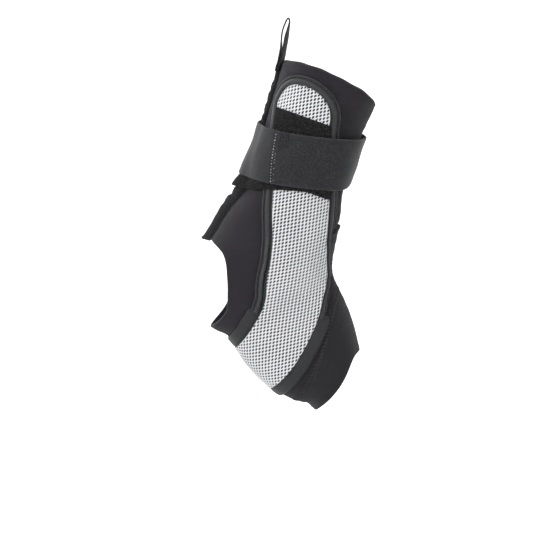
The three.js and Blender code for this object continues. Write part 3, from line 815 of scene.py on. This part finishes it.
def bindings():
    """The taped edge of the mesh on either side, with its row of stitches and a bar tack at each end."""
    path = binding_path()
    body = edging(path, BINDING_OUTLINE)
    # Painted highlight: the crest is marked paler, most on the rear edge, where the light falls on it.
    crest = ramp(BINDING_OUTLINE[:, 1], 1.9, 3.1) * (BINDING_OUTLINE[:, 0] < 4.9)
    body[3][:] = (mix(0.1, 0.55, ramp(path[:, 2], 0.55, 1.2))[:, None] * crest).ravel()
    strips = both_sides("binding", facing_out(body), "binding_knit")
    row = along_path(path, 5.25 * MM, 1.9 * MM, 2.5 * MM, margin=2 * MM)
    sewn = [threads(*row, 1.7 * MM, 0.36 * MM, 0.2 * MM)]
    for end in (path[:12], path[-12:]):
        for reach in (1.2, 2.4, 3.6, 4.8):
            tack = along_path(end, reach * MM, 3.0 * MM, 2.2 * MM)
            sewn.append(threads(*tack, 2.0 * MM, 0.3 * MM, 0.1 * MM))
    return strips, both_sides("binding_stitches", facing_out(joined(sewn)), "grey_thread")


def stirrup_tape(side, tack):
    """The wider tape that goes on from the binding, under the sole and up the inner side."""
    tuck = 0.3
    stations = np.linspace(tack - tuck, 2 * SOLE_STATION - tack + tuck, 1600)
    path = evenly(panel_edge(stations, side), 1.0 * MM)
    away = -1 if side == "rear" else 1
    body = edging(path, TAPE_OUTLINE, away, taper=9 * MM, narrow=0.68, low=0.12, root=0.0)
    return piece("tape_" + side, facing_out(body), "tape_weave")


# The net of the mesh panel, in metres on the cloth laid flat: the two steps of its lattice and one hole
NET_ACROSS = np.array([3.04, 0.66]) * MM
NET_DOWN = np.array([-0.34, -2.97]) * MM
HOLE_LONG, HOLE_SHORT, HOLE_SLANT = 1.5 * MM, 0.74 * MM, math.radians(50)
NET_EDGE, LATTICE_REACH = 0.03, 190
NET_CROSSING, NET_STRAND, NET_BRINK, NET_FOOT = 2.85 * MM, 2.7 * MM, 2.5 * MM, 1.95 * MM
OFF_SHEET = -99
PATTERN_ROWS, PATTERN_COLUMNS, PATTERN_BEYOND, REFERENCE_STATION = 300, 25, 1.3, 3


def panel_lines(stations):
    """The front and rear ends of lines across the panel, carried straight on above the dome's foot."""
    on_panel = np.clip(stations, 0, 2 * SOLE_STATION)
    front, rear = panel_edge(on_panel, "front"), panel_edge(on_panel, "rear")
    above = np.maximum(-stations, 0) + np.maximum(stations - 2 * SOLE_STATION, 0)
    sign = np.where(stations > SOLE_STATION, -1.0, 1.0)
    first = STIRRUP[1] - STIRRUP[0]
    rear = rear - np.stack([first[0] * above, sign * first[1] * above], axis=-1)
    front = front - np.stack([first[2] * above, sign * first[3] * above], axis=-1)
    return front, rear


def first_pattern(stations, lines):
    """Lines of points across the panel, laid out straight along its middle line, which keeps its bends."""
    middle = lines[:, lines.shape[1] // 2]
    down, ahead = np.gradient(middle, axis=0), lines[:, -1] - lines[:, 0]
    out = unit(np.cross(ahead, down))
    tangent = unit(down)
    across = unit(ahead - out * dot(ahead, out)[:, None])
    turn = dot(np.cross(tangent[:-1], tangent[1:]), out[:-1])
    heading = np.concatenate([[0.0], np.cumsum(turn)])
    reference = int(np.argmin(np.abs(stations - REFERENCE_STATION)))
    heading += math.atan2(tangent[reference, 2], tangent[reference, 0]) - heading[reference]
    step = np.linalg.norm(np.diff(middle, axis=0), axis=1)[:, None]
    step = step * np.stack([np.cos(heading[:-1]), np.sin(heading[:-1])], axis=1)
    centre = np.concatenate([[[0.0, 0.0]], np.cumsum(step, axis=0)])
    lean = np.arctan2(dot(np.cross(tangent, across), out), dot(tangent, across))
    way = np.stack([np.cos(heading + lean), np.sin(heading + lean)], axis=1)
    widths = np.linalg.norm(np.diff(lines, axis=1), axis=2)
    along = np.concatenate([np.zeros((len(lines), 1)), np.cumsum(widths, axis=1)], axis=1)
    along -= along[:, lines.shape[1] // 2][:, None]
    return centre[:, None] - centre[reference] + way[:, None] * along[..., None]


def eased(laid, lines):
    """The pattern with its threads let out or drawn in, until each is as long as it is on the worn panel."""
    rounds, give = 900, 0.12
    pairs = [(np.s_[:-1, :], np.s_[1:, :]), (np.s_[:, :-1], np.s_[:, 1:])]
    pairs += [(np.s_[:-1, :-1], np.s_[1:, 1:]), (np.s_[:-1, 1:], np.s_[1:, :-1])]
    wanted = [np.linalg.norm(lines[p] - lines[q], axis=-1) for p, q in pairs]
    laid = laid.copy()
    for _ in range(rounds):
        pull = np.zeros_like(laid)
        for (p, q), length in zip(pairs, wanted):
            off = laid[q] - laid[p]
            size = np.linalg.norm(off, axis=-1)
            force = off * ((size - length) / np.maximum(size, 1e-9))[..., None]
            pull[p] += force
            pull[q] -= force
        laid += give * pull
    return laid


def flat_pattern():
    """The panel laid flat: stations, shares across, and a grid of points for them."""
    stations = np.linspace(-PATTERN_BEYOND, 2 * SOLE_STATION + PATTERN_BEYOND, PATTERN_ROWS)
    front, rear = panel_lines(stations)
    share = np.linspace(0, 1, PATTERN_COLUMNS)
    places = mix(front[:, None], rear[:, None], share[None, :, None])
    lines = spot(places[..., 0], places[..., 1])
    first = first_pattern(stations, lines)
    laid = eased(first, lines)
    reference = int(np.argmin(np.abs(stations - REFERENCE_STATION)))
    above, below, middle = reference - 6, reference + 6, PATTERN_COLUMNS // 2
    was, now = (sheet[below, middle] - sheet[above, middle] for sheet in (first, laid))
    turn = math.atan2(was[1], was[0]) - math.atan2(now[1], now[0])
    spin = np.array([[math.cos(turn), math.sin(turn)], [-math.sin(turn), math.cos(turn)]])
    return stations, share, (laid - laid[reference, middle]) @ spin


def from_flat(points, pattern):
    """Places (u, a), the station and the share across for points of the panel laid flat."""
    stations, share, laid = pattern
    rows, columns = laid.shape[:2]
    known = laid.reshape(-1, 2)
    nearest = np.empty(len(points), int)
    batch, rounds = 2000, 8
    for start in range(0, len(points), batch):
        part = points[start:start + batch]
        nearest[start:start + batch] = ((part[:, None] - known[None]) ** 2).sum(axis=2).argmin(axis=1)
    place = np.stack([nearest // columns, nearest % columns], axis=1).astype(float)
    for _ in range(rounds):
        i = np.clip(np.floor(place[:, 0]).astype(int), 0, rows - 2)
        j = np.clip(np.floor(place[:, 1]).astype(int), 0, columns - 2)
        s, t = (place[:, 0] - i)[:, None], (place[:, 1] - j)[:, None]
        p, q, r, w = laid[i, j], laid[i, j + 1], laid[i + 1, j], laid[i + 1, j + 1]
        off = points - mix(mix(p, q, t), mix(r, w, t), s)
        down, across = mix(r - p, w - q, t), mix(q - p, w - r, s)
        area = down[:, 0] * across[:, 1] - down[:, 1] * across[:, 0]
        place[:, 0] += (off[:, 0] * across[:, 1] - off[:, 1] * across[:, 0]) / area
        place[:, 1] += (down[:, 0] * off[:, 1] - down[:, 1] * off[:, 0]) / area
        place = np.clip(place, -3, [rows + 2, columns + 2])
    off_sheet = (place[:, 0] < 0) | (place[:, 0] > rows - 1)
    station = stations[0] + place[:, 0] * (stations[1] - stations[0])
    across = place[:, 1] * share[1]
    front, rear = panel_lines(station)
    return mix(front, rear, across[:, None]), np.where(off_sheet, OFF_SHEET, station), across


def on_dome(places, station):
    """How far places lie out from the foot of the dome, in shares of its rise and width, and which do."""
    inner = places[:, 1] > 1
    folded = np.where(inner, 2 - places[:, 1], places[:, 1])
    off = np.stack([(DOME_FOOT - places[:, 0]) / DOME_RISE, (folded - DOME_MIDDLE) / DOME_HALF], axis=1)
    above = np.minimum(station, 2 * SOLE_STATION - station) < 0
    return off, np.hypot(off[:, 0], off[:, 1]), inner, above


def held_in(places, station, share):
    """Places drawn in to a clean edge just inside the panel's own."""
    front, rear = panel_lines(station)
    held = mix(front, rear, np.clip(share, NET_EDGE, 1 - NET_EDGE)[:, None])
    off, size, inner, above = on_dome(places, station)
    inset = NET_EDGE * (1 - 0.8 * ramp(off[:, 0], 0.3, 0.9))
    off = off * np.minimum(1, (1 - 2 * inset) / np.maximum(size, 1e-9))[:, None]
    a = DOME_MIDDLE + off[:, 1] * DOME_HALF
    crown = np.stack([DOME_FOOT - off[:, 0] * DOME_RISE, np.where(inner, 2 - a, a)], axis=1)
    return np.where(above[:, None], crown, held)


def in_panel(places, station, share):
    """Whether the middle of a net cell lies near enough to the panel to be partly on it."""
    _, size, _, above = on_dome(places, station)
    return np.where(above, size < 0.99, (share > -0.002) & (share < 1.002)) & (station > OFF_SHEET)


def net_half(pattern, inner):
    """The net's cells on one half of the panel: a slanted hole each, and strands that crown between holes."""
    steps = np.arange(-LATTICE_REACH, LATTICE_REACH)
    i, j = np.meshgrid(steps, steps, indexing="ij")
    centres = i.reshape(-1, 1) * NET_ACROSS + j.reshape(-1, 1) * NET_DOWN
    low, high = pattern[2].min(axis=(0, 1)), pattern[2].max(axis=(0, 1))
    centres = centres[((centres > low) & (centres < high)).all(axis=1)]
    places, station, share = from_flat(centres, pattern)
    under_strap = (places[:, 0] > 4.9) & (places[:, 0] < strap_bottom(places[:, 1]) - 0.15)
    kept = in_panel(places, station, share) & ~under_strap & ((station > SOLE_STATION) == inner)
    centres = centres[kept]
    ends = np.array([[-1, -1], [1, -1], [1, 1], [-1, 1]]) / 2
    corner = ends @ np.stack([NET_ACROSS, NET_DOWN])
    thirds = np.arange(3)[:, None] / 3
    border = np.concatenate([mix(corner[k], corner[(k + 1) % 4], thirds) for k in range(4)])
    angle = np.arctan2(border[:, 1], border[:, 0]) - HOLE_SLANT
    power = 1.8
    size = np.abs(np.cos(angle) / HOLE_LONG) ** power + np.abs(np.sin(angle) / HOLE_SHORT) ** power
    hole = unit(border) * size[:, None] ** (-1 / power)
    count, sides = len(centres), len(border)
    outer = (centres[:, None] + border).reshape(-1, 2)
    smallest = 0.05 * MM
    rounded = np.round(outer / smallest).astype(int)
    keys, first, number = np.unique(rounded, axis=0, return_index=True, return_inverse=True)
    number = number.reshape(count, sides)
    shared = outer[first]
    rim = (centres[:, None] + hole).reshape(-1, 2)
    at_shared = held_in(*from_flat(shared, pattern))
    at_rim = held_in(*from_flat(rim, pattern))
    is_corner = np.zeros(len(keys), bool)
    is_corner[number[:, ::3].ravel()] = True
    crown = np.where(is_corner, NET_CROSSING, NET_STRAND) + crease(*at_shared.T)
    rise = crease(*at_rim.T)
    points = np.concatenate([
        spot(*at_shared.T, crown),
        spot(*at_rim.T, NET_BRINK + rise),
        spot(*at_rim.T, NET_FOOT + rise),
    ])
    # Marks for painted shade in the holes: none on the strands, some at each hole's brink, full at its foot.
    depth = np.repeat([0.0, 0.35, 1.0], [len(shared), len(rim), len(rim)])
    laid = np.concatenate([shared, rim, rim])
    brink = len(keys) + np.arange(count * sides).reshape(count, sides)
    foot = brink + count * sides
    turned = np.roll(np.arange(sides), -1)
    faces = np.concatenate([
        np.stack([p, p[:, turned], q[:, turned], q], axis=-1).reshape(-1, 4)
        for p, q in ((number, brink), (brink, foot))
    ])
    tried = faces[:50]
    a, b, c = (points[tried[:, k]] for k in (0, 1, 2))
    outward = lookup(OUT, *at_shared[tried[:, 0]].T)
    if dot(np.cross(b - a, c - a), outward).sum() < 0:
        faces = faces[:, ::-1]
    lengthways = np.linalg.norm(points[faces[:, 0]] - points[faces[:, 2]], axis=1)
    crossways = np.linalg.norm(points[faces[:, 1]] - points[faces[:, 3]], axis=1)
    faces = faces[np.minimum(lengthways, crossways) > smallest]
    return points, faces, laid[faces], depth


def net():
    """The pierced net, laid flat and then worn. Its halves are made apart, as they overlap when laid flat."""
    stations, share, laid = flat_pattern()
    middle, overlap, halves = PATTERN_ROWS // 2, 8, []
    for rows, inner in ((np.s_[:middle + overlap], False), (np.s_[middle - overlap:], True)):
        halves.append(net_half((stations[rows], share, laid[rows]), inner))
    return piece("mesh_net", joined(halves), "net_yarn")


def crease(u, a):
    """The soft crease that crosses the mesh at the ankle, from its rear edge up to its front one."""
    past = u - 14.6 - 1.4 * (0.609 - side_of(a))
    fold = 0.55 * bump(past, -0.1, 0.16) - 0.35 * bump(past, 0.25, 0.2)
    return fold * MM * ramp(side_of(a), 0.15, 0.3)


def net_backing():
    """The dark ground of the mesh, one strip from the outer dome under the sole to the inner dome."""
    half = np.concatenate([np.linspace(-0.985, 0, 30), np.linspace(0, SOLE_STATION, 170)[1:]])
    stations = np.concatenate([half, (2 * SOLE_STATION - half[:-1])[::-1]])
    share = np.linspace(0, 1, 29)[None, :, None]
    front, rear = (panel_edge(stations, side)[:, None] for side in ("front", "rear"))
    u, a = np.moveaxis(mix(front, rear, share), -1, 0)
    rise = crease(u, a)
    body = cloth(u, a, 0.5 * MM + rise, 2.0 * MM + rise)
    return piece("mesh_backing", body, "net_backing")


def pile_loops(name, u, a, height, seed):
    """Small curled loops of yarn that stand on a fuzzy field at each place."""
    tall, thin, rings, sides = 1.0 * MM, 0.10 * MM, 5, 3
    random = np.random.default_rng(seed)
    count = len(u)
    base = spot(u, a, height)
    out = lookup(OUT, u, a)
    down, around = slopes(u, a)
    heading = random.uniform(0, 2 * np.pi, count)[:, None]
    across = unit(unit(down) * np.cos(heading) + unit(around) * np.sin(heading))
    lean = unit(out + 0.55 * random.normal(size=(count, 3)))
    rise = tall * random.uniform(0.45, 1.0, count)[:, None, None]
    wide = random.uniform(0.25, 0.5, count)[:, None, None] * MM
    turn = np.linspace(-0.1 * np.pi, 1.1 * np.pi, rings)
    line = base[:, None] + across[:, None] * wide * np.cos(turn)[None, :, None]
    line = line + lean[:, None] * rise * (np.sin(turn)[None, :, None] * 0.75 - 0.05)
    tangent = unit(np.gradient(line, axis=1))
    first = unit(np.cross(tangent, across[:, None] + 0.3 * out[:, None]))
    second = np.cross(tangent, first)
    angle = (np.arange(sides) * 2 * np.pi / sides)[:, None]
    points = first[:, :, None] * np.cos(angle) + second[:, :, None] * np.sin(angle)
    points = (line[:, :, None] + thin * points).reshape(-1, 3)
    one = ring_faces(rings, sides)
    faces = repeated(one, count, rings * sides)
    flat = np.repeat(random.uniform(0, 1, (count, 1, 1, 2)), len(one), axis=1).reshape(-1, 1, 2)
    flat = np.broadcast_to(flat, (len(faces), 4, 2))
    return piece(name, facing_out((points, faces, flat, np.zeros(len(points)))), "pile_loops")


def patch_place(down, back):
    """A place on the fuzzy field of the mesh, from its shares down it and from the front to the rear."""
    station = mix(0.2 * back, 1.15, down)
    places = mix(panel_edge(station, "front"), panel_edge(station, "rear"), back[..., None])
    return places[..., 0], places[..., 1]


def loop_patch(seed):
    """The fuzzy field on the outer side, and its mirror image on the inner side."""
    low, high, loops, hidden = 2.3 * MM, 3.5 * MM, 6400, 0.25
    down, back = np.meshgrid(np.linspace(0, 1, 26), np.linspace(0, 1, 50), indexing="ij")
    fields = both_sides("patch", cloth(*patch_place(down, back), low, high, bulge=0.8), "pile_base")
    random = np.random.default_rng(seed)
    piles = []
    for k, side in enumerate(SIDES):
        u, a = patch_place(*random.uniform(0, 1, (2, loops)))
        a = 2 - a if side == "medial" else a
        seen = u < strap_top(a) + hidden
        piles.append(pile_loops("patch_pile_" + side, u[seen], a[seen], high - 0.1 * MM, seed + 1 + k))
    return fields, piles


def base_band(seed):
    """The fuzzy band round the back, below the strap."""
    rows, columns, thick, loops, hidden, inset = 16, 260, 1.0 * MM, 12400, 0.2, 0.004
    a = np.broadcast_to(np.linspace(BAND_FRONT, 2 - BAND_FRONT, columns), (rows, columns))
    u = mix(BAND_TOP, band_bottom(a), np.linspace(0, 1, rows)[:, None])
    low = band_low(u, a)
    field = piece("band_cloth", cloth(u, a, low, low + thick, bulge=0.8), "pile_base")
    down, back = np.random.default_rng(seed).uniform(0, 1, (2, loops))
    a = mix(BAND_FRONT + inset, 2 - BAND_FRONT - inset, back)
    u = mix(BAND_TOP, band_bottom(a), down)
    seen = u > strap_bottom(signed(a)) - hidden
    u, a = u[seen], a[seen]
    return field, pile_loops("band_pile", u, a, band_low(u, a) + thick - 0.05 * MM, seed + 1)


# Where the strap's white stitches run, down the overlap: rows of u and a
DOT_LINE = np.array([[4.55, 0.741], [4.75, 0.732], [5.59, 0.713], [6.54, 0.684], [6.72, 0.679]])


def behind_dots(u, a):
    """How far behind the white stitches a place lies."""
    return a - np.interp(u, DOT_LINE[:, 0], DOT_LINE[:, 1])


def strap_relief(u, a):
    """The strap's soft waves, the step where its end is laid over, and the valley that the stitches draw."""
    off = behind_dots(u, a)
    waves = 0.15 * np.sin(4 * u + 12 * a) * np.sin(23 * a + 1.3)
    step = 0.45 * ramp(off, -0.004, 0.012) * (1 - ramp(off, 0.2, 0.4))
    return MM * (waves + step - 0.35 * bump(off, 0, 0.006))


def strap():
    """One ring of elastic round the leg, with its rear part laid over the front one at the white stitches."""
    share, a, closed = round_grid(36, 260)
    u = mix(strap_top(a), strap_bottom(a), share)
    low = strap_low(u, a) + strap_relief(u, a)
    body = cloth(u, a, low, low + STRAP_THICKNESS, closed, bulge=0.9)
    # Painted highlight: the rear end, behind the white stitches and round the back, is marked paler, as lit
    # from that side.
    painted_highlight = 0.35 * np.maximum(ramp(behind_dots(u, a), -0.002, 0.008), 1 - ramp(a, -0.8, -0.4)).ravel()
    tone = 0.5 * body[3]
    tone[:u.size] = np.maximum(tone[:u.size], painted_highlight)
    return piece("strap_elastic", (*body[:3], tone), "strap_weave")


def strap_face(u, a):
    """Points of the strap's outer face."""
    return spot(u, a, strap_low(u, a) + strap_relief(u, a) + STRAP_THICKNESS)


def stitch_column(shift, first, last):
    """Even places on the strap's face, moved forward of the dot line: u, a and the way down along it."""
    step, ahead = 2.5 * MM, 0.5 * MM
    u = np.linspace(DOT_LINE[0, 0], DOT_LINE[-1, 0], 300)
    path = np.stack([u, np.interp(u, DOT_LINE[:, 0], DOT_LINE[:, 1])], axis=1)
    path = np.stack(beside(path, shift), axis=1)
    length = gone(strap_face(*path.T))
    wanted = np.arange(first, min(last, length[-1]), step)
    here, next_one = (read_off(at, length, path).T for at in (wanted, wanted + ahead))
    return *here, strap_face(*next_one) - strap_face(*here)


def strap_stitches():
    """White stitches down the overlap, a few beside them, and the block of dark bar tacks before them."""
    random = np.random.default_rng(5)
    white, dark = [], []
    white_columns = ((0.0, 1.15, 0.5, 1.0, 0.03), (2.3, 0.75, 0.28, 0.55, 0.8))
    for shift, length, radius, kept, under_edge in white_columns:
        u, a, way = stitch_column(shift * MM, (1.5 + 0.6 * shift) * MM, 60 * MM)
        shown = (random.uniform(0, 1, len(u)) < kept) & (u < strap_bottom(a) - 0.03)
        shown &= u > strap_top(a) + under_edge
        u, a, way = u[shown], a[shown], way[shown]
        sizes = random.uniform(0.6, 1.15, len(u)) * MM
        sewn = threads(strap_face(u, a), way, lookup(OUT, u, a), length * sizes, radius * sizes, 0.12 * MM)
        white.append(sewn)
    for column in range(4):
        shift, first, last = 4.3 + 2.15 * column, 1.6 + 1.2 * column, 21 - 1.5 * column
        u, a, way = stitch_column(shift * MM, first * MM, last * MM)
        dark.append(threads(strap_face(u, a), way, lookup(OUT, u, a), 1.5 * MM, 0.68 * MM, 0.05 * MM))
    dots = piece("strap_dots", facing_out(joined(white)), "white_thread")
    return dots, piece("strap_bar_tacks", facing_out(joined(dark)), "dark_thread")


# The back seam's outline: distance to either side in millimetres, and share of its height
SEAM_OUTLINE = np.array([
    [-0.7, 0], [-0.75, 0.14], [-1.35, 0.3], [-1.55, 0.6], [-1.4, 0.86], [-0.7, 1.0],
    [0.7, 1.0], [1.4, 0.86], [1.55, 0.6], [1.35, 0.3], [0.75, 0.14], [0.7, 0],
])
SEAM_TOP, SEAM_END, SEAM_OVERHANG = 2.05, 9.1, 3.4 * MM
SCALLOP, SEAM_ROOT, SEWN_AT = 10 * MM, 0.9 * MM, 0.68


def back_seam():
    """The proud seam down the back: two cloth edges bound together, drawn into scallops by its stitches."""
    u = np.linspace(SEAM_TOP, SEAM_END, 900)
    length = gone(spot(u, np.ones_like(u)))
    even = np.linspace(0, length[-1], 340)
    u = np.interp(even, length, u)
    root = spot(u, np.ones_like(u), -SEAM_ROOT)
    out = lookup(OUT, u, np.ones_like(u))
    along = unit(np.gradient(root, axis=0))
    phase = 2 * np.pi * even / SCALLOP
    swell = (np.sin(phase) + 0.35 * np.sin(2 * phase + 1.0)) * (1 - 0.85 * ramp(u, 7.7, 8.2))
    height = SEAM_ROOT + LAYER_GAP + flange_at(u) * (1 + 0.09 * swell)
    sway = 0.4 * MM * np.sin(phase * 0.93 + 0.6)
    from_end = np.minimum(even, even[-1] - even)
    ends = np.sqrt(1 - (1 - np.clip(from_end / (1.5 * MM), 0, 1)) ** 2)
    overhang = SEAM_OVERHANG * ramp(even, even[-1] - 16 * MM, even[-1])
    sideways = np.array([0.0, 1.0, 0.0])
    rings = np.empty((len(u), len(SEAM_OUTLINE), 3))
    flat = np.empty((len(u), len(SEAM_OUTLINE), 2))
    for k, (across, share) in enumerate(SEAM_OUTLINE):
        off = across * MM * (1 + 0.1 * swell) * mix(0.6, 1, ends) + sway * share
        rings[:, k] = root + out * (height * share * mix(0.8, 1, ends))[:, None]
        rings[:, k] += sideways * off[:, None] + along * (overhang * share)[:, None]
        flat[:, k] = np.stack([np.full(len(u), across * MM + share * 5 * MM), even], axis=1)
    fin = piece("back_seam_cloth", facing_out(swept(rings, flat)), "seam_knit")
    wanted = np.arange(2 * MM, even[-1] - 2 * MM, SCALLOP / 4)
    columns = np.column_stack([root, out, along, height, sway, overhang])
    columns = read_off(wanted, even, columns)
    root, out, along, rise, shift, reach = np.split(columns, [3, 6, 9, 10, 11], axis=1)
    top = out * rise + shift * sideways + reach * along
    sewn = []
    for sign in (-1, 1):
        centres = root + top * SEWN_AT + sideways * sign * 1.6 * MM
        slant = unit(out + 0.5 * along)
        sewn.append(threads(centres, slant, sideways * sign + 0 * centres, 2.2 * MM, 0.2 * MM, 0.08 * MM))
    sewn.append(threads(root + top, sideways + 0 * top, out, 2.4 * MM, 0.2 * MM, 0.12 * MM))
    return fin, piece("back_seam_stitches", facing_out(joined(sewn)), "seam_thread")


# The pull loop's outline: shares of its half width and of its half thickness
LOOP_OUTLINE = np.array([
    [-1, -0.4], [-0.97, -0.9], [-0.88, -1], [0, -1], [0.88, -1], [0.97, -0.9], [1, -0.4],
    [1, 0.4], [0.97, 0.9], [0.88, 1], [0, 1], [-0.88, 1], [-0.97, 0.9], [-1, 0.4],
])


def pull_loop():
    """The narrow ribbed webbing, bent over above the rim with a slight twist, and sewn down at the back."""
    start = spot(rim_place(1.0), 1.0)
    path = between(LOOP_PATH, np.linspace(0, len(LOOP_PATH) - 1, 1200)) * LOOP_RISE
    length = gone(path)
    even = np.linspace(0, length[-1], 560)
    x, z = read_off(even, length, path).T
    centre = np.stack([start[0] + x, np.zeros_like(x), start[2] + z], axis=1)
    along = unit(np.gradient(centre, axis=0))
    share = even / even[-1]
    twist = np.radians(18 * (1 - ramp(share, 0.3, 0.5)) + 17 * ramp(share, 0.68, 0.9))
    wide = np.stack([np.sin(twist), np.cos(twist), np.zeros_like(x)], axis=1)
    wide = unit(wide - along * dot(wide, along)[:, None])
    normal = np.cross(along, wide)
    rib = np.cos(2 * np.pi * even / (1.0 * MM))
    half_thick, half_wide = 0.66 * MM + 0.08 * MM * rib, LOOP_WIDTH / 2 + 0.06 * MM * rib
    rings = np.empty((len(even), len(LOOP_OUTLINE), 3))
    flat = np.empty((len(even), len(LOOP_OUTLINE), 2))
    for k, (across, level) in enumerate(LOOP_OUTLINE):
        rings[:, k] = centre + wide * (across * half_wide)[:, None] + normal * (half_thick * level)[:, None]
        flat[:, k] = np.stack([np.full(len(even), across * LOOP_WIDTH / 2), even], axis=1)
    return piece("pull_loop_webbing", facing_out(swept(rings, flat)), "webbing_rib")


def cross_seam_stitches():
    """The zigzag beside the cross seam of the foot."""
    a = np.linspace(-1, 1, 4001)
    line = spot(zigzag_place(a), a)
    length = gone(line)
    corners = np.arange(0, length[-1], 1.7 * MM)
    ca = np.interp(corners, length, a)
    swing = np.where(np.arange(len(ca)) % 2 == 0, -1.0, 1.0)
    cu = zigzag_place(ca) + swing * 0.16
    points = spot(cu, ca, sleeve_relief(cu, ca) + 0.1 * MM)
    centres = (points[1:] + points[:-1]) / 2
    way = points[1:] - points[:-1]
    size = np.linalg.norm(way, axis=1)
    out = lookup(OUT, (cu[1:] + cu[:-1]) / 2, (ca[1:] + ca[:-1]) / 2)
    body = threads(centres, way, out, size * 1.05, 0.4 * MM, 0.25 * MM)
    return piece("cross_seam_zigzag", facing_out(body), "seam_thread")


def placed(thing, slot, *solids):
    """Sets a piece on the frame, in place of the solids that it shows; the slot is not used."""
    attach(thing, "root")
    if solids:
        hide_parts(*solids)
    return thing


def dress():
    """Makes every piece, sets it on the frame and hides the solids that it stands in for."""
    zigzag = placed(cross_seam_stitches(), "neoprene")
    body = placed(sleeve(), "neoprene", "sleeve", "foot_wrap")
    cuff = placed(foot_cuff(), "neoprene", "foot_cuff")
    for strip, sewing, side in zip(*bindings(), SIDES):
        placed(strip, "binding", "panel_binding_" + side)
        placed(sewing, "binding")
    for side, tack in (("rear", REAR_TACK), ("front", FRONT_TACK)):
        placed(stirrup_tape(side, tack), "tape", "stirrup_tape_" + side)
    mesh = placed(net(), "spacer_mesh")
    backing = placed(net_backing(), "spacer_mesh", "mesh_panel")
    for field, pile, side in zip(*loop_patch(seed=11), SIDES):
        placed(pile, "pile")
        placed(field, "pile", "loop_patch_" + side)
    band, band_pile = base_band(seed=23)
    placed(band_pile, "pile")
    placed(band, "pile", "base_band")
    placed(strap(), "elastic", "strap")
    for sewing in strap_stitches():
        placed(sewing, "elastic")
    fin, sewing = back_seam()
    placed(fin, "binding", "back_seam")
    placed(sewing, "binding")
    placed(pull_loop(), "webbing", "pull_loop")


# Studio

def backdrop():
    """A pale floor that curves up into a round wall, seen without a seam from every side."""
    floor, flat_part, wall, bend, height, no_hole = -0.2, 1.0, 3.0, 0.9, 2.6, 0.00001
    turn = np.linspace(-np.pi / 2, 0, 13)
    profile = [(no_hole, floor), (flat_part, floor)]
    profile += [(wall - bend + bend * math.cos(t), floor + bend + bend * math.sin(t)) for t in turn]
    profile.append((wall, height))
    around = np.linspace(0, 2 * np.pi, 97)[:-1]
    points = np.array([[r * math.cos(t), r * math.sin(t), z] for r, z in profile for t in around])
    faces = ring_faces(len(profile), len(around))[:, ::-1]
    paper = bpy.data.materials.new("studio_paper")
    paper.use_nodes = True
    shader = paper.node_tree.nodes["Principled BSDF"]
    grain = node(paper.node_tree, "ShaderNodeTexNoise")
    grain.inputs["Scale"].default_value = 3.0
    tint = node(paper.node_tree, "ShaderNodeMapRange")
    tint.inputs["To Min"].default_value = 0.90
    tint.inputs["To Max"].default_value = 0.93
    paper.node_tree.links.new(grain.outputs[0], tint.inputs["Value"])
    paper.node_tree.links.new(tint.outputs[0], shader.inputs["Base Color"])
    shader.inputs["Roughness"].default_value = 0.9
    shader.inputs["Emission Color"].default_value = (1, 1, 1, 1)
    path = node(paper.node_tree, "ShaderNodeLightPath")
    glow = math_node(paper.node_tree, "MULTIPLY", path.outputs["Is Camera Ray"], 0.6)
    paper.node_tree.links.new(glow, shader.inputs["Emission Strength"])
    body = (points, faces, np.zeros((len(faces), 4, 2)), np.zeros(len(points)))
    piece("studio_floor", body, "studio_paper")


def soft_light(name, place, size, power):
    """A soft rectangle of light, aimed at the origin."""
    lamp = bpy.data.lights.new(name, "AREA")
    lamp.shape = "RECTANGLE"
    lamp.size, lamp.size_y = size
    lamp.energy = power
    thing = bpy.data.objects.new(name, lamp)
    thing.location = place
    thing.rotation_euler = (-Vector(place)).to_track_quat("-Z", "Y").to_euler()
    bpy.context.scene.collection.objects.link(thing)


def studio():
    """Pale air, and soft lights round the part."""
    world = bpy.data.worlds.new("studio_air")
    world.use_nodes = True
    world.node_tree.nodes["Background"].inputs["Color"].default_value = (0.97, 0.98, 1.0, 1)
    world.node_tree.nodes["Background"].inputs["Strength"].default_value = 0.40
    bpy.context.scene.world = world
    backdrop()
    soft_light("key", (-1.5, -1.3, 1.3), (0.9, 0.9), 32)
    soft_light("fill", (1.5, -1.3, 0.6), (1.2, 1.2), 6)
    soft_light("back_left", (-1.5, 1.0, 0.9), (1.0, 1.4), 17)
    soft_light("back_right", (1.3, 1.3, 1.0), (1.0, 1.4), 8)
    soft_light("top", (0, 0, 1.9), (1.6, 1.6), 10)


def camera():
    """The photograph's view: square on to the outer side, from a little above."""
    elevation, aim, distance = math.radians(8), Vector((-0.0163, 0, -0.004)), 1.3
    back = Vector((0, -math.cos(elevation), math.sin(elevation)))
    eye = bpy.data.cameras.new("view")
    eye.lens, eye.sensor_width = 99.8, 36.0
    eye.clip_start, eye.clip_end = 0.05, 50.0
    thing = bpy.data.objects.new("view", eye)
    thing.location = aim + back * distance
    thing.rotation_euler = (-back).to_track_quat("-Z", "Y").to_euler()
    bpy.context.scene.collection.objects.link(thing)
    bpy.context.scene.camera = thing


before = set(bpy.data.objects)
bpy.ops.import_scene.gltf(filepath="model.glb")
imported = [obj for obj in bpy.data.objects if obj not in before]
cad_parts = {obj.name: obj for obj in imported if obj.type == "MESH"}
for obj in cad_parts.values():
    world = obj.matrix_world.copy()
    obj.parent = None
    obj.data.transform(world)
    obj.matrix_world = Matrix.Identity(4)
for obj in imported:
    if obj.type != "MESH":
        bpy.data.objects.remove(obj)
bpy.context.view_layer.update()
dress()
studio()
camera()
bpy.context.scene.view_settings.view_transform = "Standard"
